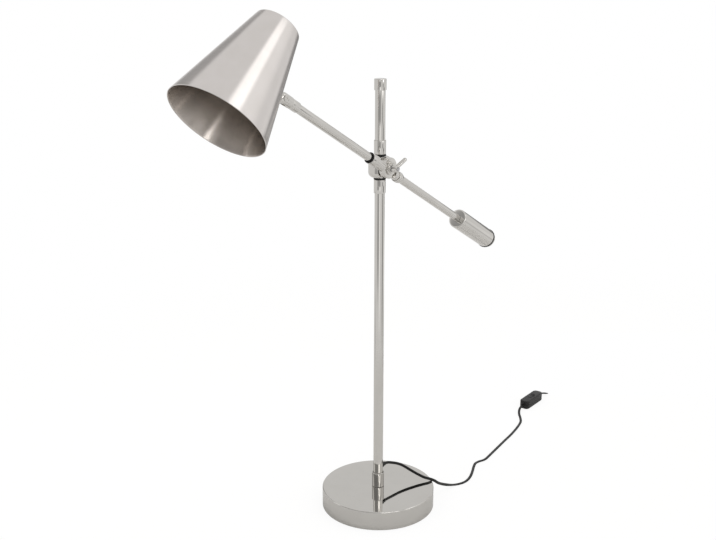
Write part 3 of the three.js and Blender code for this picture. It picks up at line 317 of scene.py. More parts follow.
def turnedMesh(name, profile, place=Matrix(), ease=0.0, sides=72):
    # profile points are radius and height in mm; one that starts off the axis makes a ring
    ring = profile[0][0] != 0
    if ease:
        profile = eased(profile, ease, ring)
    builder = bmesh.new()
    uvLayer = builder.loops.layers.uv.new("round")
    rings = []
    for radius, height in profile:
        angles = [2 * math.pi * k / sides for k in range(sides)] if radius else [0]
        rings.append([builder.verts.new((radius * mm * math.cos(a), radius * mm * math.sin(a),
                                         height * mm)) for a in angles])
    rings.append(rings[0])
    run = [0.0]
    for first, second in zip(profile, profile[1:] + profile[:1]):
        run.append(run[-1] + math.dist(first, second))
    widest = max(radius for radius, _ in profile)
    for i in range(len(profile) if ring else len(profile) - 1):
        for k in range(sides):
            corners = [(i, k), (i, k + 1), (i + 1, k + 1), (i + 1, k)]
            if len(rings[i]) == 1:
                corners = [(i, k + 0.5)] + corners[2:]
            elif len(rings[i + 1]) == 1:
                corners = corners[:2] + [(i + 1, k + 0.5)]
            face = builder.faces.new([rings[level][int(along) % len(rings[level])]
                                      for level, along in corners])
            for loop, (level, along) in zip(face.loops, corners):
                loop[uvLayer].uv = (along / sides * 2 * math.pi * widest, run[level])
    return closeMesh(name, builder, place)


def rod(diameter, low, high, place=Matrix(), sides=40):
    return turnedMesh("rod", discProfile(diameter, low, high), place, 0, sides)


def prismMesh(name, loops, place=Matrix(), around=False):
    # faces between neighbouring loops of points in mm, with flat caps; around leaves out the
    # caps and joins the last loop to the first
    builder = bmesh.new()
    rows = [[builder.verts.new([c * mm for c in point]) for point in loop] for loop in loops]
    for low, high in zip(rows, rows[1:] + rows[:1] if around else rows[1:]):
        for k in range(len(low)):
            nextK = (k + 1) % len(low)
            builder.faces.new([low[k], low[nextK], high[nextK], high[k]])
    if not around:
        builder.faces.new(rows[0][::-1])
        builder.faces.new(rows[-1])
    return closeMesh(name, builder, place)


def blockMesh(low, high, place=Matrix()):
    corners = [(low[0], low[1]), (high[0], low[1]), (high[0], high[1]), (low[0], high[1])]
    return prismMesh("block", [[(x, y, z) for x, y in corners] for z in (low[2], high[2])], place)


def turned(name, profile, finish, body, place=Matrix(), ease=0.35, sides=72, nodes=None):
    mesh = turnedMesh(name, profile, place, ease, sides)
    return makePiece(name, mesh, finish, body, nodes)


def combined(name, solids, cutters, finish, body, bevel=0.0, smoothAngle=34):
    # joins the solids, takes the cutters away, and rounds the edges that are left
    base = linkObject(name, solids[0])
    helpers = []
    for i, mesh in enumerate(solids[1:] + cutters, 1):
        helpers.append(linkObject(name + "Tool", mesh))
        step = base.modifiers.new("form", "BOOLEAN")
        step.operation = "UNION" if i < len(solids) else "DIFFERENCE"
        step.object = helpers[-1]
        step.solver = "EXACT"
    if bevel:
        edge = base.modifiers.new("edge", "BEVEL")
        edge.width = bevel * mm
        edge.segments = 2
        edge.limit_method = "ANGLE"
        edge.angle_limit = math.radians(edgeAngle)
    bpy.context.view_layer.update()
    evaluated = base.evaluated_get(bpy.context.evaluated_depsgraph_get())
    mesh = bpy.data.meshes.new_from_object(evaluated)
    for helper in helpers + [base]:
        bpy.data.objects.remove(helper)
    return makePiece(name, mesh, finish, body, None, smoothAngle)


def threadProfile(diameter, low, high, pitch=1.0):
    # rings in place of the thread's helix, between plain ends
    radius = diameter / 2
    root = radius - 0.3 * pitch
    points = [(0, low), (root, low)]
    for k in range(int((high - low) / pitch) - 1):
        base = low + pitch * (k + 0.5)
        points += [(root, base), (radius, base + pitch * 0.4), (radius, base + pitch * 0.6)]
    return points + [(root, high - pitch * 0.3), (root, high), (0, high)]


nutForm = dict(sides=48, chamfer=0.5, endShare=0.98)  # endShare of the width across flats


def hexNut(name, acrossFlats, hole, low, high, place, finish, body, holeSides=32):
    # a nut with its corners turned off at both ends
    n = sizesOf(nutForm)
    half = acrossFlats / 2
    loops = []
    for height, limit in [(low, half * n.endShare), (low + n.chamfer, acrossFlats),
                          (high - n.chamfer, acrossFlats), (high, half * n.endShare)]:
        loop = []
        for k in range(n.sides):
            angle = 2 * math.pi * k / n.sides
            toFlat = (angle + math.pi / 6) % (math.pi / 3) - math.pi / 6
            radius = min(half / math.cos(toFlat), limit)
            loop.append((radius * math.cos(angle), radius * math.sin(angle), height))
        loops.append(loop)
    cutter = rod(hole, low - overrun, high + overrun, place, holeSides)
    return combined(name, [prismMesh(name, loops, place)], [cutter], finish, body)


# one flat twin cord from the pole, through the switch, to the coil and the plug
cord = dict(
    width=5.2,
    thickness=2.8,
    groove=0.32,  # between the two cores
    leadRoute=[
        (1.9, 17.9, 72), (3.4, 25.5, 71.1), (6.9, 33, 68.7), (10.6, 40.2, 66), (15.5, 46.2, 62.8),
        (21.8, 50.6, 59), (28.5, 53.8, 55), (35.9, 57, 51), (42.2, 60, 47.6), (55.2, 66.4, 41.6),
        (60.6, 70.6, 39.7), (64.8, 75.6, 37), (67.2, 81.4, 33), (68, 88.6, 27), (67.4, 99, 20.2),
        (67.5, 114.5, 12), (69.4, 131, 5.2), (72.4, 143, 2), (75.8, 151, 1.5), (78.6, 160, 1.5),
        (79, 170.5, 1.5), (75.3, 187.4, 1.5), (67, 207.2, 1.5), (56.8, 228, 1.5), (52, 241, 1.5),
        (52.8, 252, 1.5), (56, 261.5, 1.5), (56.8, 271, 1.5), (55.2, 281.5, 1.5),
        (48.8, 320.3, 1.5), (41.9, 361.5, 1.5), (35.1, 403.5, 1.5), (25.6, 444, 1.5),
        (17.6, 467, 1.5), (7.7, 481.9, 1.8), (-3.5, 495.5, 3.4), (-10.2, 506.6, 5.7),
        (-13.4, 516, 8), (-14.2, 523.5, 9.2), (-14.6, 530.7, 9.25),
    ],
    tailRoute=[
        (-18.4, 603.3, 9.25), (-18.6, 610, 9.1), (-17.8, 619, 7.4), (-15.2, 630, 4.6),
        (-11.5, 642, 2.4), (-7.5, 654, 1.6), (-4, 666, 1.5), (-1.5, 678, 1.6), (-0.3, 689, 2.2),
        (0, 698, 2.6), (0, 705, 2.7),
    ],
    spacing=3.5,  # mm between the points of the finished curve
    coilPlace=(-37, 715),
    coilRadius=37,
    coilTurns=5.5,
    coilPitch=6.6,
    coilLayerStep=3.8,
    coilClimb=0.3,
    coilLift=1.3,
    stepsPerTurn=24,
    plugEntry=4,  # mm of lead inside the plug's boot
    onEdge=(135, 172),  # mm from the pole over which the lead turns from its edge to its flat
)


def smoothCurve(points):
    # a centripetal curve through the points
    points = [Vector(point) for point in points]
    ends = [points[0] * 2 - points[1]] + points + [points[-1] * 2 - points[-2]]
    result = [points[0]]
    for a, b, c, d in zip(ends, ends[1:], ends[2:], ends[3:]):
        t1 = math.sqrt((b - a).length)
        t2 = t1 + math.sqrt((c - b).length)
        t3 = t2 + math.sqrt((d - c).length)
        count = max(1, round((c - b).length / cord["spacing"]))
        for k in range(1, count + 1):
            t = t1 + (t2 - t1) * k / count
            p = a * ((t1 - t) / t1) + b * (t / t1)
            q = b * ((t2 - t) / (t2 - t1)) + c * ((t - t1) / (t2 - t1))
            r = c * ((t3 - t) / (t3 - t2)) + d * ((t - t2) / (t3 - t2))
            pq = p * ((t2 - t) / t2) + q * (t / t2)
            qr = q * ((t3 - t) / (t3 - t1)) + r * ((t - t1) / (t3 - t1))
            result.append(pq * ((t2 - t) / (t2 - t1)) + qr * ((t - t1) / (t2 - t1)))
    return result


def coilPoint(turn):
    c = sizesOf(cord)
    radius = c.coilRadius - c.coilPitch * min(turn, c.coilTurns - turn)
    climb = smoothStep((turn - (c.coilTurns - c.coilClimb) / 2) / c.coilClimb)
    angle = 2 * math.pi * turn
    return Vector((c.coilPlace[0] + radius * math.cos(angle),
                   c.coilPlace[1] + radius * math.sin(angle),
                   c.coilLift + c.thickness / 2 + c.coilLayerStep * climb))


def leadPath():
    c = sizesOf(cord)
    count = round(c.coilTurns * c.stepsPerTurn * 2)
    coil = [coilPoint(c.coilTurns * k / count) for k in range(count + 1)]
    straight = Vector((0, 2 * math.pi * c.coilRadius / c.stepsPerTurn, 0))
    before, after = coil[0] - straight, coil[-1] - straight
    entry = after - Vector((0, c.plugEntry + seatGap, 0))
    path = smoothCurve(c.leadRoute) + smoothCurve(c.tailRoute)
    path += [before, before.lerp(coil[0], 0.5)] + coil
    return path + [coil[-1].lerp(after, 0.5), after, entry]


def twinSection():
    # two round cores side by side, with the groove between them
    core = cord["thickness"] / 2
    centre = cord["width"] / 2 - core
    slope = (centre * 0.45, core - cord["groove"] * 0.3)
    half = [(0, core - cord["groove"]), slope] + arc((centre, 0), core, 90, -90, 7)
    half += [(slope[0], -slope[1]), (0, cord["groove"] - core)]
    return half + [(-x, y) for x, y in half[-2:0:-1]]


def addLead():
    path = leadPath()
    section = twinSection()
    low, high = cord["onEdge"]
    loops = []
    reached = 0.0
    for i, here in enumerate(path):
        before = path[max(i - 1, 0)]
        reached += (here - before).length
        ahead = path[min(i + 1, len(path) - 1)] - before
        side = up.cross(ahead).normalized()
        above = ahead.cross(side).normalized()
        turn = math.pi / 2 * smoothStep((high - reached) / (high - low))
        side, above = (side * math.cos(turn) + above * math.sin(turn),
                       above * math.cos(turn) - side * math.sin(turn))
        loops.append([here + side * x + above * y for x, y in section])
    piece = makePiece("leadCord", prismMesh("leadCord", loops), "sheathBlack", "stand",
                      ["cord_lead", "cord_tail", "cord_coil"], 50)
    length = sum((b - a).length for a, b in zip(path, path[1:])) * mm
    print("lead length", round(length, 3), "m")
    return piece, path, length


leadCord, leadPoints, leadLength = addLead()


baseSize = dict(
    diameter=200, height=35, edge=2.0, wall=1.5, lift=0.8, feltInset=3.5, felt=2.0,
    hole=10.5, ferruleDiameter=21.6, ferruleHeight=26.8, poleHole=17.5,
)


def addBase():
    b = sizesOf(baseSize)
    outer = b.diameter / 2
    inner, under = outer - b.wall, b.height - b.wall
    profile = [(b.hole / 2, under), (inner, under), (inner, b.lift), (outer, b.lift)]
    profile += arc((outer - b.edge, b.height - b.edge), b.edge, 0, 90, 8)
    profile += [(outer * share, b.height) for share in (0.8, 0.5, 0.25)]
    profile += [(b.hole / 2, b.height)]
    turned("baseShell", profile, "base", "stand", ease=0, sides=160)
    turned("baseFeltPad", discProfile(b.diameter - 2 * b.feltInset, 0, b.felt), "felt", "stand",
           ease=0.5, sides=96, nodes=["felt_pad"])
    low = b.height + seatGap
    # the foot ferrule takes the darker copy of the nickel, a painted shade
    turned("baseFerrule", ringProfile(b.ferruleDiameter, b.poleHole, low, low + b.ferruleHeight),
           "foot", "stand", ease=0.9)


addBase()
print("base made")


pole = dict(
    diameter=17, bore=14.6, foot=35.3, lowerTop=590.4, upperBottom=643.6, upperTop=756.7,
    capHeight=18.3, capDiameter=20, capTop=4, lampTop=761, hole=10.5, ferruleBore=17.5,
    hubFerrule=19.8, hubFerruleHeight=23, ferruleCap=5,
    hubBottom=599.4, hubTop=634.6, washerDiameter=20.6, washer=3,
    exitTurn=84, exitHeight=72, grommetHole=7.7,
)
exitFrame = shift(0, 0, pole["exitHeight"]) @ turnZ(pole["exitTurn"]) @ turnY(90)


def addPole():
    p = sizesOf(pole)
    tube = turnedMesh("poleLower", ringProfile(p.diameter, p.bore, p.foot, p.lowerTop), sides=96)
    hole = rod(p.grommetHole, 0, p.diameter, exitFrame, 32)
    combined("poleLower", [tube], [hole], "nickel", "stand")
    turned("poleUpper", ringProfile(p.diameter, p.bore, p.upperBottom, p.upperTop), "nickel",
           "stand", ease=0.2, sides=96)
    ends = [("lower", p.hubBottom - seatGap, -1), ("upper", p.hubTop + seatGap, 1)]
    for end, start, sign in ends:
        start += sign * (seatGap + p.washer)
        outline = [(p.hole, 0), (p.hubFerrule, 0), (p.hubFerrule, p.hubFerruleHeight),
                   (p.ferruleBore, p.hubFerruleHeight), (p.ferruleBore, p.ferruleCap),
                   (p.hole, p.ferruleCap)]
        profile = byDiameter(*[(diameter, start + sign * along) for diameter, along in outline])
        turned(end + "HubFerrule", profile, "nickel", "stand", ease=0.8)
    for end, start, sign in ends:
        low, high = sorted((start, start + sign * p.washer))
        turned(end + "SwivelWasher", ringProfile(p.washerDiameter, p.hole, low, high),
               "nylonBlack", "stand", ease=0.7)
    top, inside, brim = p.lampTop, p.lampTop - p.capTop, p.lampTop - p.capHeight
    turned("topCap", byDiameter((0, inside), (p.ferruleBore, inside), (p.ferruleBore, brim),
                                (p.capDiameter, brim), (p.capDiameter, top), (0, top)),
           "nickel", "stand", ease=0.9)


grommet = dict(
    neck=7.2, flange=10, tip=6.6, neckEnd=5.9, seat=1.2, face=10.7, length=6.6, shoulder=1.6,
    reach=12,  # mm above and below the exit, over which the pole is cut from it
)


def addGrommet():
    g = sizesOf(grommet)
    seat, tip = g.neckEnd + g.seat, g.face + g.length
    body = turnedMesh("cordGrommet", byDiameter(
        (0, g.neckEnd), (g.neck, g.neckEnd), (g.neck, seat), (g.flange, seat), (g.flange, g.face),
        (g.tip + g.shoulder, g.face), (g.tip, tip), (0, tip)), exitFrame, 0.6, 48)
    tube = rod(pole["diameter"] + 2 * slipGap, pole["exitHeight"] - g.reach,
               pole["exitHeight"] + g.reach, sides=96)
    combined("cordGrommet", [body], [tube], "nylonBlack", "stand")
    neck = rod(g.neck, g.neckEnd, g.face - overlap, exitFrame, 48)
    makePiece("cordGrommetNeck", neck, "nylonBlack", "stand", [])


addPole()
addGrommet()
print("pole made")


hub = dict(
    diameter=38.6, corner=8.5, flat=9.6, tilt=617, boltHole=6.5, boltDiameter=6, boltStart=6.2,
    boltEnd=39.3, washerStart=9.9, washer=1.5, washerDiameter=28,
    clampStart=22.3, clamp=3, clampDiameter=23, step=2, stepDiameter=16, groove=0.5,
    grooveWidths=(1.8, 2.8), springStart=27.6, spring=1.4, springDiameter=12,
)
boltAxis = shift(0, 0, hub["tilt"]) @ turnY(90)


def addHub():
    h = sizesOf(hub)
    core = h.diameter / 2 - h.corner
    low, high = pole["hubBottom"], pole["hubTop"]
    profile = [(pole["hole"] / 2, low)] + arc((core, low + h.corner), h.corner, -90, 0, 12)
    profile += arc((core, high - h.corner), h.corner, 0, 90, 12) + [(pole["hole"] / 2, high)]
    barrel = turnedMesh("hubBody", profile, sides=96)
    flat = blockMesh((h.flat, -h.diameter, low - overrun), (h.diameter, h.diameter, high + overrun))
    hole = rod(h.boltHole, h.boltStart - seatGap, h.diameter, boltAxis)
    combined("hubBody", [barrel], [flat, hole], "nickelPlain", "hub", 0.4)
    turned("tiltBolt", threadProfile(h.boltDiameter, h.boltStart, h.boltEnd), "steel", "hub",
           boltAxis, 0, 48)
    turned("tiltWasher", ringProfile(h.washerDiameter, h.boltHole, h.washerStart,
                                     h.washerStart + h.washer), "nylonBlack", "hub", boltAxis)
    face = h.clampStart + h.clamp
    inner, outer = (h.stepDiameter + width for width in h.grooveWidths)
    turned("clampDisc", byDiameter(
        (h.boltHole, h.clampStart), (h.clampDiameter, h.clampStart), (h.clampDiameter, face),
        (outer, face), (inner, face - h.groove), (h.stepDiameter, face - h.groove),
        (h.stepDiameter, face + h.step), (h.boltHole, face + h.step)),
        "nickel", "hub", boltAxis, 0.5, 96)
    turned("springWasher", ringProfile(h.springDiameter, h.boltHole, h.springStart,
                                       h.springStart + h.spring), "steel", "hub", boltAxis, 0.3)


lever = dict(
    start=29.3, length=8.5, diameter=13, topDiameter=10, angle=47, width=7, thickness=5,
    root=3, rootHeight=3.6, tip=19.7, tipHeight=12.1, steps=14, sides=20,
    holeReach=20,  # mm from the nut's foot, so that the hole clears the bar as well
    swell=1.1, taper=0.2,  # shares of the thickness, at the root and lost towards the tip
    square=0.7,  # 1 is an oval section, and less is squarer
    blunt=(0.0016, 0.02),  # squares of the shares of width and thickness left at the very tip
)
leverFrame = shift(0, 0, hub["tilt"]) @ turnX(90 + lever["angle"]) @ turnY(90)


def leverBar():
    # a bar that thins and rounds off from the nut to its tip
    v = sizesOf(lever)
    root = Vector((v.root, 0, v.start + v.rootHeight))
    tip = Vector((v.tip, 0, v.start + v.tipHeight))
    along = (tip - root).normalized()
    across = Vector((-along.z, 0, along.x))
    straight = (tip - root).length
    reach = straight + v.width / 2
    loops = []
    for k in range(v.steps + 1):
        t = k / v.steps
        centre = root + along * (reach * t)
        over = max(0.0, reach * t - straight) / (v.width / 2)
        half = v.width / 2 * math.sqrt(max(v.blunt[0], 1 - over * over))
        thick = v.thickness / 2 * (v.swell - v.taper * t)
        thick *= math.sqrt(max(v.blunt[1], 1 - over ** 4))
        loop = []
        for n in range(v.sides):
            angle = 2 * math.pi * n / v.sides
            x, y = (math.copysign(abs(c) ** v.square, c)
                    for c in (math.cos(angle), math.sin(angle)))
            point = centre + across * (x * half)
            loop.append((point.x, y * thick, point.z))
        loops.append(loop)
    return prismMesh("leverBar", loops, leverFrame)


def addLeverNut():
    v = sizesOf(lever)
    hole, end = hub["boltHole"], v.start + v.length
    nut = turnedMesh("leverNut", byDiameter((hole, v.start), (v.diameter, v.start),
                                            (v.topDiameter, end), (hole, end)), leverFrame, 0.6)
    cutter = rod(hole, v.start - overrun, v.start + v.holeReach, leverFrame)
    combined("leverNut", [nut, leverBar()], [cutter], "nickelPlain", "lever", 0.0, 40)


addHub()
addLeverNut()
print("hub made")


arm = dict(
    tilt=29.9, offset=18, drop=4.3, disc=35, discStart=11.7, discEnd=22.0, boss=16.2, bossStart=15,
    frontBoss=37.5, rearBoss=25.2, spigot=11, spigotEnd=52.8, rearSpigot=10.3, rearSpigotEnd=35.5,
    wire=5.6, wireStart=10.3, tubeDiameter=14, tubeBore=11.8, tubeStart=42.8, tubeEnd=264.3,
    ferruleStart=37.8, ferruleEnd=54, ferruleDiameter=21, ferruleTip=18.4, tubeHole=14.5,
    spigotHole=11.5, ringStart=54.3, ring=1.8, ringDiameter=18.6,
    knuckle=285.5, endStart=250.6, endStop=267.6, endDiameter=16.4, endCap=3,
    rearStart=25.5, rearStraight=33.5, rearEnd=39.5, rearDiameter=19, rearTip=15.4,
    rodDiameter=13.4, rodBore=10.8, rodHole=13.9, rodEnd=359.1,
    weightStart=239, weightEnd=351, weightDiameter=35, weightEdge=2.5, weightChamfer=0.4,
    bandStart=351.3, band=3, bandDiameter=36.4, capStart=354.6, cap=5.5, capDiameter=32.6,
    capChamfer=0.7, knurl=1.0, knurlCount=44,
)
armFrame = shift(0, 0, hub["tilt"]) @ turnX(-arm["tilt"])
frontAxis = armFrame @ shift(arm["offset"], 0, -arm["drop"]) @ turnX(90)
rearAxis = armFrame @ shift(arm["offset"], 0, -arm["drop"]) @ turnX(-90)
tiltAxis = armFrame @ turnY(90)


def addCarrier():
    a = sizesOf(arm)
    solids = [turnedMesh("armCarrier", discProfile(a.disc, a.discStart, a.discEnd), tiltAxis, 0.8,
                         96)]
    for axis, diameter, low, high in [
        (frontAxis, a.boss, a.bossStart, a.frontBoss),
        (frontAxis, a.spigot, a.frontBoss - overlap, a.spigotEnd),
        (rearAxis, a.boss, a.bossStart, a.rearBoss),
        (rearAxis, a.rearSpigot, a.rearBoss - overlap, a.rearSpigotEnd),
    ]:
        solids.append(rod(diameter, low, high, axis, 72))
    cutters = [rod(hub["boltHole"], a.discStart - overrun, a.discEnd + overrun, tiltAxis),
               rod(a.wire, a.wireStart, a.spigotEnd + overrun, frontAxis)]
    combined("armCarrier", solids, cutters, "nickelPlain", "arm", 0.5)


def addArmTubes():
    a = sizesOf(arm)
    wireHole, seat, endSeat = pole["hole"], a.tubeStart - seatGap, a.endStop - a.endCap
    pieces = [
        ("frontFerrule", frontAxis, "nickel", 0.7, byDiameter(
            (a.spigotHole, a.ferruleStart), (a.ferruleDiameter, a.ferruleStart),
            (a.ferruleTip, a.ferruleEnd), (a.tubeHole, a.ferruleEnd), (a.tubeHole, seat),
            (a.spigotHole, seat))),
        ("frontRing", frontAxis, "nylonBlack", 0.5,
         ringProfile(a.ringDiameter, a.tubeHole, a.ringStart, a.ringStart + a.ring)),
        ("frontTube", frontAxis, "nickel", 0.2,
         ringProfile(a.tubeDiameter, a.tubeBore, a.tubeStart, a.tubeEnd)),
        ("armEndFerrule", frontAxis, "nickel", 0.6, byDiameter(
            (wireHole, a.endStop), (a.endDiameter, a.endStop), (a.endDiameter, a.endStart),
            (a.tubeHole, a.endStart), (a.tubeHole, endSeat), (wireHole, endSeat))),
        ("rearFerrule", rearAxis, "nickel", 1.3, byDiameter(
            (a.rodHole, a.rearStart), (a.rearDiameter, a.rearStart),
            (a.rearDiameter, a.rearStraight), (a.rearTip, a.rearEnd), (a.rodHole, a.rearEnd))),
        ("rearRod", rearAxis, "nickel", 0.3,
         ringProfile(a.rodDiameter, a.rodBore, a.rearStart, a.rodEnd)),
        ("weightRing", rearAxis, "nylonBlack", 0.9,
         ringProfile(a.bandDiameter, a.rodHole, a.bandStart, a.bandStart + a.band)),
    ]
    for name, axis, finish, ease, profile in pieces:
        turned(name, profile, finish, "arm", axis, ease, 80)


def addCounterweight():
    a = sizesOf(arm)
    radius, edge, hole = a.weightDiameter / 2, a.weightEdge, a.rodHole / 2
    profile = [(hole, a.weightStart)]
    profile += arc((radius - edge, a.weightStart + edge), edge, -90, 0, 8)
    profile += [(radius, a.weightEnd - a.weightChamfer), (radius - a.weightChamfer, a.weightEnd),
                (hole, a.weightEnd)]
    turned("counterweight", profile, "nickel", "arm", rearAxis, 0, 112)
    loops = []
    count = a.knurlCount * 4
    chamfer = a.capChamfer
    for height, inset in [(0, chamfer), (chamfer, 0), (a.cap - chamfer, 0), (a.cap, chamfer)]:
        loop = []
        for k in range(count):
            angle = 2 * math.pi * k / count
            ridge = a.knurl * (0.5 - 0.5 * math.cos(angle * a.knurlCount))
            reach = a.capDiameter / 2 - (inset or ridge)
            loop.append((reach * math.cos(angle), reach * math.sin(angle), a.capStart + height))
        loops.append(loop)
    cutter = rod(a.rodHole, a.capStart - overrun, a.capStart + a.cap + overrun, rearAxis, 48)
    combined("weightCap", [prismMesh("weightCap", loops, rearAxis)], [cutter], "nickelPlain", "arm")


addCarrier()
addArmTubes()
addCounterweight()
print("arm made")


knuckle = dict(
    diameter=17.6, width=14.4, edge=0.6, seat=10.4, slot=6.4, slotFloor=9.0,
    spigot=10, spigotStart=-10, spigotEnd=-31.1,
    tongue=16.8, tongueThickness=5.8, stem=10, stemStart=9.4, stemEnd=34.5, stemWire=11.4,
    web=11.4, webWidth=10, wall=25.3, screw=5, screwHole=5.5, screwPast=1.5,
    head=9, headThickness=1.8, recess=3.2, recessDepth=1.4, nut=8, nutThickness=3,
    flange=20, flangeThickness=2.5, shadeNut=14, shadeNutStart=27.43, shadeNutThickness=4,
    headTilt=2,
)
knuckleFrame = armFrame @ shift(arm["offset"], -arm["knuckle"], -arm["drop"])
headFrame = knuckleFrame @ turnX(-knuckle["headTilt"])
stemFrame = headFrame @ turnX(90)


def addKnuckle():
    k = sizesOf(knuckle)
    radius, past = k.diameter / 2, k.diameter / 2 + overrun
    along, across = knuckleFrame @ turnX(90), knuckleFrame @ turnY(90)
    nose = arc((0, 0), radius, 0, 90, 12)[:-1] + [(0, radius)]
    barrel = turnedMesh("knuckleFork", [(0, -k.diameter), (radius - k.edge, -k.diameter),
                                        (radius, k.edge - k.diameter)] + nose, along, 0, 96)
    spigot = rod(k.spigot, k.spigotEnd, k.spigotStart, along, 48)
    cutters = [
        blockMesh((-k.slot / 2, -k.diameter, -k.diameter), (k.slot / 2, k.slotFloor, k.diameter),
                  knuckleFrame),
        rod(k.screwHole, -past, past, across),
        rod(arm["wire"], k.spigotEnd - overrun, 0, along),
        rod(k.seat, k.width / 2, k.width / 2 + radius, across, 64),
        rod(k.seat, -k.width / 2 - radius, -k.width / 2, across, 64),
    ]
    combined("knuckleFork", [barrel, spigot], cutters, "nickelPlain", "arm", 0.25)
    side = k.width / 2 + seatGap
    end = side + k.nutThickness + k.screwPast
    top = side + k.headThickness
    floor = top - k.recessDepth
    turned("knuckleScrew", byDiameter(
        (0, -end), (k.screw, -end), (k.screw, side), (k.head, side), (k.head, top), (k.recess, top),
        (k.recess, floor), (0, floor)), "nickel", "arm", across, 0.4, 64)
    hexNut("knuckleNut", k.nut, k.screwHole, -side - k.nutThickness, -side, across, "nickelPlain",
           "arm")


def addStem():
    k = sizesOf(knuckle)
    thick, wide, past = k.tongueThickness / 2, k.webWidth / 2, k.tongueThickness + overrun
    across = headFrame @ turnY(90)
    disc = turnedMesh("knuckleTongue", discProfile(k.tongue, -thick, thick), across, 0.5)
    web = blockMesh((-thick, -k.web, -wide), (thick, 0, wide), headFrame)
    stem = rod(k.stem, k.stemStart, k.stemEnd, stemFrame, 64)
    cutters = [rod(k.screwHole, -past, past, across),
               rod(arm["wire"], k.stemWire, k.stemEnd + overrun, stemFrame)]
    combined("knuckleTongue", [disc, web, stem], cutters, "nickelPlain", "head", 0.25)
    hole, high = k.stem + 2 * slipGap, k.wall - seatGap
    turned("shadeFlange", ringProfile(k.flange, hole, high - k.flangeThickness, high), "nickel",
           "head", stemFrame, 0.8)
    hexNut("shadeNut", k.shadeNut, hole, k.shadeNutStart, k.shadeNutStart + k.shadeNutThickness,
           stemFrame, "steel", "head")


addKnuckle()
addStem()
print("knuckle made")


shade = dict(
    rimDiameter=153, topDiameter=68.8, length=172.4, wall=1.2, topRadius=2.5, attach=101.1,
    hole=10.5, stemHole=10.5, bend=1.6, lip=0.5, lipRound=0.05,
    levels=(3, 12, 30, 50, 70, 90, 110, 130, 150),  # mm from the rim
    roofInside=100,  # mm from the rim, above which a face turned down is the inside of the roof
)
flare = math.atan2((shade["rimDiameter"] - shade["topDiameter"]) / 2, shade["length"])
attachRadius = shade["rimDiameter"] / 2 - shade["attach"] * math.tan(flare)
shadeFrame = (headFrame
              @ shift(0, -knuckle["wall"] - attachRadius * math.cos(flare)
                      - shade["attach"] * math.sin(flare),
                      attachRadius * math.sin(flare) - shade["attach"] * math.cos(flare))
              @ turnX(-math.degrees(flare)))


def addShade():
    s = sizesOf(shade)
    rim = s.rimDiameter / 2
    slant = s.wall / math.cos(flare)
    inside = s.length - s.wall

    def radiusAt(height):
        return rim - height * math.tan(flare)

    profile = [(s.hole / 2, inside), (radiusAt(inside) - slant - s.bend, inside),
               (radiusAt(inside - s.topRadius) - slant, inside - s.topRadius)]
    profile += [(radiusAt(height) - slant, height) for height in reversed(s.levels)]
    profile += [(rim - slant, s.lip), (rim - slant * 0.75, s.lipRound),
                (rim - slant * 0.25, s.lipRound), (rim, s.lip)]
    profile += [(radiusAt(height), height) for height in s.levels]
    start = s.length - s.topRadius * (1 - math.sin(flare))
    centre = (radiusAt(start) - s.topRadius * math.cos(flare), s.length - s.topRadius)
    profile += arc(centre, s.topRadius, math.degrees(flare), 90, 8) + [(s.hole / 2, s.length)]
    mesh = turnedMesh("shade", profile, shadeFrame, 0, 180)
    hole = rod(s.stemHole, knuckle["wall"] - overrun, knuckle["wall"] + overrun, stemFrame, 48)
    piece = combined("shade", [mesh], [hole], "shadeOutside", "head")
    # faces that look towards the axis, and the inside of the roof, take the darker inside finish,
    # which carries painted shade deep in the hollow
    piece.data.materials.append(finishes["shadeInside"])
    back = shadeFrame.inverted()
    for polygon in piece.data.polygons:
        place = back @ polygon.center / mm
        outward = back.to_3x3() @ polygon.normal
        radial = Vector((place.x, place.y, 0)).normalized()
        roof = outward.z < -0.5 and place.z > s.roofInside
        polygon.material_index = 1 if roof or outward.dot(radial) < -0.2 else 0


holder = dict(
    nippleLow=157.4, nippleHigh=179.4, nipple=10, nippleBore=7, nut=15, nutLow=172.7, nutHigh=176.7,
    capTop=170.9, capBottom=154.9, capDiameter=34, capTopDiameter=24, wall=2,
    skirtTop=154.6, skirtBottom=116.6, skirtDiameter=38, floor=4, socket=27.6, wire=5.6,
    ribs=8, ribStart=3, ribPitch=3.6, ribSteps=((0, 0), (0, 1.4), (0.6, 1.9), (0.6, 3.1)),
    sleeve=27.1, sleeveWall=0.6, sleeveLow=119.6, sleeveHigh=143.6, waves=8, waveDepth=0.35,
    contact=11, contactLow=148.3, contactHigh=150.3,
)


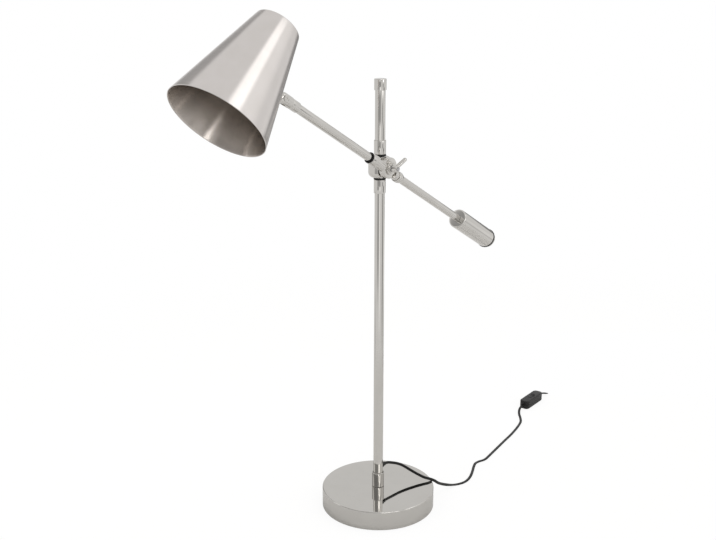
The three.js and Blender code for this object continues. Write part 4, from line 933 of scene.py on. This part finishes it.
def addLampholder():
    h = sizesOf(holder)
    profile = threadProfile(h.nipple, h.nippleLow, h.nippleHigh)[1:-1]
    profile += byDiameter((h.nippleBore, h.nippleHigh), (h.nippleBore, h.nippleLow))
    turned("holderNipple", profile, "steel", "head", shadeFrame, 0, 48)
    hole = shade["hole"]
    hexNut("holderNut", h.nut, hole, h.nutLow, h.nutHigh, shadeFrame, "nickelPlain", "head", 40)
    under = h.capTop - h.wall
    turned("lampholderCap", byDiameter(
        (hole, under), (h.capTopDiameter - 2 * h.wall, under),
        (h.capDiameter - 2 * h.wall, h.capBottom), (h.capDiameter, h.capBottom),
        (h.capDiameter, h.capBottom + h.floor), (h.capTopDiameter, h.capTop), (hole, h.capTop)),
        "holderBlack", "head", shadeFrame, 0.7)
    radius = h.skirtDiameter / 2
    ribs = [(radius - inset, h.skirtBottom + h.ribStart + h.ribPitch * k + rise)
            for k in range(h.ribs) for inset, rise in h.ribSteps]
    floor = h.skirtTop - h.floor
    profile = byDiameter((h.wire, floor), (h.socket, floor), (h.socket, h.skirtBottom),
                         (h.skirtDiameter, h.skirtBottom)) + ribs
    profile += byDiameter((h.skirtDiameter, floor), (h.capDiameter, h.skirtTop),
                          (h.wire, h.skirtTop))
    turned("lampholderSkirt", profile, "holderBlack", "head", shadeFrame, 0.3)
    steps = h.waves * 4
    outside = []
    for k in range(steps + 1):
        dip = h.waveDepth * (0.5 - 0.5 * math.cos(math.pi / 2 * k))
        outside.append((h.sleeve / 2 - dip, h.sleeveLow + (h.sleeveHigh - h.sleeveLow) * k / steps))
    inside = [(radius - h.sleeveWall, height) for radius, height in reversed(outside)]
    turned("lampholderSleeve", outside + inside, "brass", "head", shadeFrame, 0, 64)
    turned("lampholderContact", discProfile(h.contact, h.contactLow, h.contactHigh), "brass",
           "head", shadeFrame, 0.5, 48)


addShade()
addLampholder()
print("shade made")


switch = dict(
    place=(-16.5, 567), turn=3, length=72, width=22, height=18.5, corner=8, wall=1.8, edge=2.4,
    lip=0.3, window=2, rockerLength=17, rockerWidth=8.6, rockerDepth=2.4, pivotDepth=1.2,
    proud=1.6, dip=0.9, dish=1.6, dishSteps=12, rock=7,
)
switchFrame = shift(*switch["place"], 0) @ turnZ(switch["turn"])


def switchShell(name, levels):
    s = sizesOf(switch)
    loops = []
    for height, inset in levels:
        corner = s.corner - inset
        x, y = s.width / 2 - inset - corner, s.length / 2 - inset - corner
        loop = []
        for signX, signY, start in [(1, 1, 0), (-1, 1, 90), (-1, -1, 180), (1, -1, 270)]:
            loop += arc((signX * x, signY * y), corner, start, start + 90, 8)
        loops.append([(*point, height) for point in loop])
    return prismMesh(name, loops, switchFrame)


def rockerMesh():
    s = sizesOf(switch)
    top = s.pivotDepth + s.wall + s.proud
    half = s.rockerLength / 2
    outline = [(half, 0), (half / 2, -s.rockerDepth), (-half / 2, -s.rockerDepth), (-half, 0)]
    dish = []
    for k in range(s.dishSteps + 1):
        share = 2 * k / s.dishSteps - 1
        dish.append((half * share, top - s.dip * (1 - abs(share) ** s.dish)))
    pivot = s.height - s.wall - s.pivotDepth
    return prismMesh("switchRocker", [[(side * s.rockerWidth / 2, y, z) for y, z in dish + outline]
                                      for side in (-1, 1)],
                     switchFrame @ shift(0, 0, pivot) @ turnX(s.rock))


def addSwitch():
    s = sizesOf(switch)
    split = s.height / 2
    rise = [(s.edge - x, s.edge - y) for x, y in arc((0, 0), s.edge, 0, 90, 6)]
    low = rise + [(split - s.lip, 0), (split, s.lip)]
    high = [(split + seatGap, s.lip), (split + seatGap + s.lip, 0)]
    high += [(s.height - z, inset) for z, inset in reversed(rise)]
    x, y = s.rockerWidth / 2 + seatGap, s.rockerLength / 2 + 2 * seatGap
    window = blockMesh((-x, -y, split + s.window), (x, y, s.height + overrun), switchFrame)
    hollow = switchShell("switchHollow", [(s.wall, s.wall), (split + overrun, s.wall)])
    return [
        combined("switchBase", [switchShell("switchBase", low)], [hollow], "switchBlack", "stand"),
        combined("switchCover", [switchShell("switchCover", high)], [window], "switchBlack",
                 "stand"),
        combined("switchRocker", [rockerMesh()], [], "switchBlack", "rocker", 0.35),
    ]


switchPieces = addSwitch()
print("switch made")


plug = dict(
    bootLength=25, boot=11, bootTip=7.4, ribs=6,
    ribSteps=((0, 0), (0, 1.7), (0.7, 2.1), (0.7, 3.2)),
    inBody=2, length=36, width=34, thickness=12, tail=13, shoulder=14, inset=3,
    edge=2.2, edgeSteps=((-1, 1), (-0.93, 0.45), (-0.75, 0.12), (-0.5, 0)),
    pin=4, pinLength=19, pinSpacing=18.6, tieWidth=6, tie=0.8, tieGap=0.5,
)


def insetLoop(outline, inset, height):
    # moves each point towards the middle by the inset, on both axes
    centreY = sum(y for _, y in outline) / len(outline)
    return [(x - math.copysign(min(inset, abs(x)), x),
             y - math.copysign(min(inset, abs(y - centreY)), y - centreY), height)
            for x, y in outline]


def addPlug():
    p = sizesOf(plug)
    start = leadPoints[-1] + Vector((0, cord["plugEntry"], 0))
    place = shift(*start)
    profile = [(0, 0), (p.bootTip / 2, 0)]
    for k in range(p.ribs):
        share = (k + 0.4) / (p.ribs + 0.6)
        radius = p.bootTip / 2 + (p.boot - p.bootTip) / 2 * share
        profile += [(radius - inset, p.bootLength * share + rise) for inset, rise in p.ribSteps]
    end = p.bootLength + p.inBody
    profile += [(p.boot / 2, p.bootLength), (p.boot / 2, end), (0, end)]
    boot = turnedMesh("plugBoot", eased(profile, 0.25, False, 2), place @ turnX(90), 0, 48)
    end = p.bootLength + p.length
    sides = [(p.tail / 2, -p.bootLength), (p.width / 2, p.shoulder - end),
             (p.width / 2, p.inset - end), (p.width / 2 - p.inset, -end)]
    outline = eased(sides + [(-x, y) for x, y in reversed(sides)], 2.5, True, 4)
    lift = p.thickness / 2 - start.z
    levels = list(p.edgeSteps) + [(-height, inset) for height, inset in reversed(p.edgeSteps)]
    body = prismMesh("plugBody", [insetLoop(outline, inset * p.edge,
                                            lift + height * p.thickness / 2)
                                  for height, inset in levels], place)
    pieces = [combined("plugBody", [body, boot], [], "plugBlack", "stand")]
    for name, side in [("plugPinLeft", -1), ("plugPinRight", 1)]:
        axis = place @ shift(side * p.pinSpacing / 2, 0, lift) @ turnX(90)
        pieces.append(turned(name, discProfile(p.pin, end + seatGap, end + p.pinLength), "nickel",
                             "stand", axis, 1.2, 32))
    return pieces


def addTie():
    c, p = sizesOf(cord), sizesOf(plug)
    x, y = c.coilPlace
    past = c.width / 2 + p.tieGap
    outer = y + c.coilRadius + past
    inner = y + c.coilRadius - c.coilPitch * c.coilTurns / 2 - past
    low = c.coilLift - seatGap
    high = c.coilLift + c.thickness + c.coilLayerStep + seatGap
    loops = []
    for grow, half in [(0, 1), (p.tie, 1), (p.tie, -1), (0, -1)]:
        corners = eased([(inner - grow, low - grow), (outer + grow, low - grow),
                         (outer + grow, high + grow), (inner - grow, high + grow)],
                        1.0 + grow, True, 5)
        loops.append([(x + half * p.tieWidth / 2, *corner) for corner in corners])
    return makePiece("coilTie", prismMesh("coilTie", loops, around=True), "nylonBlack", "stand")


plugPieces = addPlug()
coilTie = addTie()
print("plug and tie made")


# CAD nodes that keep their shape
keptNodes = dict(
    base_weight="cast", base_washer="steel", base_nut="steel", base_nipple="steel",
    hub_spindle="steel", pole_lead="sheathBlack", arm_lead="sheathBlack", holder_lead="sheathBlack",
    switch_screw="steel", switch_contact="brass",
)
for node, finish in keptNodes.items():
    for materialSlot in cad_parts[node].material_slots:
        materialSlot.material = finishes[finish]
print("hidden nodes finished")


stage = dict(
    floorSize=12000,  # mm
    floorColor=0.66,  # in reflections, where the floor is less lit than where the camera looks
    floorSeen=0.99,
    floorGlow=0.88,  # share of the floor's white that shadows don't touch
    glowReach=(0.75, 1.5),  # m round the cord and the base, from that share to plain white
    glowCentre=(0, 0.35, 0),
    mirrorReach=(0.5, 0.95),  # m from the pole, where the floor fades out of reflections
    boardDistance=497,  # mm behind the pole, square to the view
    boardSpan=(300, 800), boardHeight=150, boardLift=0.2,
)
white = (1, 1, 1, 1)


def distanceFrom(tree, centre):
    offset = tree.nodes.new("ShaderNodeVectorMath")
    offset.operation = "DISTANCE"
    feed(offset.inputs[0], addNode(tree, "NewGeometry", "Position"))
    feed(offset.inputs[1], centre)
    return offset.outputs["Value"]


def plainDiffuse(tree, level):
    return addNode(tree, "BsdfDiffuse", "BSDF", Roughness=0.0,
                   Color=(level, level * 0.99, level * 0.975, 1))


def mixShaders(tree, factor, first, second):
    blend = tree.nodes.new("ShaderNodeMixShader")
    for socket, value in zip(blend.inputs, (factor, first, second)):
        feed(socket, value)
    return blend.outputs["Shader"]


def calculated(tree, operation, *values):
    step = tree.nodes.new("ShaderNodeMath")
    step.operation = operation
    for socket, value in zip(step.inputs, values):
        feed(socket, value)
    return step.outputs["Value"]


def stageMaterial(name):
    material, tree, shader = newMaterial(name)
    tree.nodes.remove(shader)
    return (material, tree, addNode(tree, "LightPath", "Is Camera Ray"),
            addNode(tree, "Emission", "Emission", Strength=1.0, Color=white),
            addNode(tree, "BsdfTransparent", "BSDF"))


def addPlane(name, corners, turn, material, surface):
    mesh = bpy.data.meshes.new(name)
    mesh.from_pydata([[c * mm for c in corner] for corner in corners], [], [(0, 1, 2, 3)])
    mesh.transform(turnZ(turn))
    mesh.materials.append(material)
    feed(material.node_tree.nodes["Material Output"].inputs["Surface"], surface)
    linkObject(name, mesh)


def addFloor():
    s = sizesOf(stage)
    material, tree, cameraRay, glow, clear = stageMaterial("floorWhite")
    near = fading(tree, distanceFrom(tree, s.glowCentre), *s.glowReach)
    share = calculated(tree, "SUBTRACT", 1.0,
                       calculated(tree, "MULTIPLY", near, 1 - s.floorGlow))
    seen = mixShaders(tree, share, plainDiffuse(tree, s.floorSeen), glow)
    close = fading(tree, distanceFrom(tree, (0, 0, 0)), *s.mirrorReach)
    mirrored = mixShaders(tree, close, clear, plainDiffuse(tree, s.floorColor))
    half = s.floorSize / 2
    addPlane("floor", [(-half, -half, 0), (half, -half, 0), (half, half, 0), (-half, half, 0)], 0,
             material, mixShaders(tree, cameraRay, mirrored, seen))


def addBoard():
    # a low white board behind the switch: seen only by the camera, and only from its front
    s = sizesOf(stage)
    material, tree, cameraRay, glow, clear = stageMaterial("boardWhite")
    front = calculated(tree, "SUBTRACT", 1.0, addNode(tree, "NewGeometry", "Backfacing"))
    seen = calculated(tree, "MULTIPLY", front, cameraRay)
    (left, right), low, high = s.boardSpan, s.boardLift, s.boardLift + s.boardHeight
    corners = [(x, s.boardDistance, z)
               for x, z in [(left, low), (right, low), (right, high), (left, high)]]
    addPlane("backBoard", corners, view["turn"], material, mixShaders(tree, seen, clear, glow))


# the studio that the metal shows: a pale room with dark and bright panels round it
room = dict(
    level=0.77, tint=(1.0, 0.99, 0.975),
    panels=[  # turn and rise of the middle, half sizes and soft edges, in degrees, then the level
        (-95, 32, 42, 18, 14, 10, 0.36),
        (-146, 32, 7, 9, 5, 6, 1.35),
        (-27, 10, 6, 7, 4, 5, 0.42),
        (-24, 34, 4, 5, 3, 3, 3.6),
        (-32, 24, 4, 6, 3, 3, 3.6),
        (-41, 13, 4, 6, 3, 3, 3.6),
        (-14, 23, 6, 9, 3, 4, 2.3),
        (8, 3, 5, 4, 3, 3, 3.0),
        (-68, -5, 30, 6, 8, 4, 0.38),
        (3, -7, 7, 3.5, 4, 3, 0.30),
        (-84, -14, 19, 3, 6, 3, 0.42),
        (-47, -15, 9, 4, 4, 3, 1.1),
        (25, -15, 10, 4.5, 3, 4, 0.2),
        (36, 24, 24, 18, 14, 20, 0.98),
        (33, 46, 9, 11, 8, 8, 1.95),
        (70, -11, 18, 7, 5, 3, 0.86),
        (68, -21, 26, 3, 6, 3, 0.62),
        (-150, -21, 16, 3, 6, 3, 0.60),
        (108, -4, 19, 10, 4, 5, 0.26),
        (160, 28, 11, 18, 5, 10, 0.36),
    ],
)


def addWorld():
    world = bpy.data.worlds.new("studio")
    world.use_nodes = True
    tree = world.node_tree
    apart = tree.nodes.new("ShaderNodeSeparateXYZ")
    feed(apart.inputs["Vector"], addNode(tree, "TexCoord", "Generated"))
    x, y, z = (apart.outputs[axis] for axis in "XYZ")
    turn = calculated(tree, "DEGREES", calculated(tree, "ARCTAN2", y, x))
    rise = calculated(tree, "DEGREES", calculated(tree, "ARCSINE", z))
    level = calculated(tree, "ADD", room["level"], 0.0)
    for atTurn, atRise, wide, high, softTurn, softRise, panelLevel in room["panels"]:
        aside = calculated(tree, "WRAP", calculated(tree, "SUBTRACT", turn, atTurn), 180.0, -180.0)
        off = calculated(tree, "ABSOLUTE", aside)
        over = calculated(tree, "ABSOLUTE", calculated(tree, "SUBTRACT", rise, atRise))
        mask = calculated(tree, "MULTIPLY",
                          fading(tree, off, wide - softTurn / 2, wide + softTurn / 2),
                          fading(tree, over, high - softRise / 2, high + softRise / 2))
        level = addNode(tree, "Mix", "Result", Factor=mask, A=level, B=panelLevel)
    seen = addNode(tree, "Background", "Background", Strength=1.0, Color=white)
    shown = tree.nodes["Background"]
    fill(shown, Color=(*room["tint"], 1), Strength=level)
    cameraRay = addNode(tree, "LightPath", "Is Camera Ray")
    feed(tree.nodes["World Output"].inputs["Surface"],
         mixShaders(tree, cameraRay, shown.outputs["Background"], seen))
    bpy.context.scene.world = world


lamps = [
    dict(name="keyLamp", place=(-0.9, -2.2, 2.6), aim=(0, 0, 0.4), size=1.6, power=18),
    dict(name="topLamp", place=(0.2, 0.6, 3.0), aim=(0, 0, 0.3), size=2.0, power=20),
]


def addLamps():
    for lamp in lamps:
        data = bpy.data.lights.new(lamp["name"], "AREA")
        data.size = lamp["size"]
        data.energy = lamp["power"]
        item = linkObject(lamp["name"], data)
        item.location = lamp["place"]
        item.visible_glossy = False  # the metal shows the room's panels only
        toAim = Vector(lamp["aim"]) - item.location
        item.rotation_euler = toAim.to_track_quat("-Z", "Y").to_euler()


addFloor()
addBoard()
addWorld()
addLamps()
bpy.context.scene.view_settings.view_transform = "Standard"
print("stage lit")
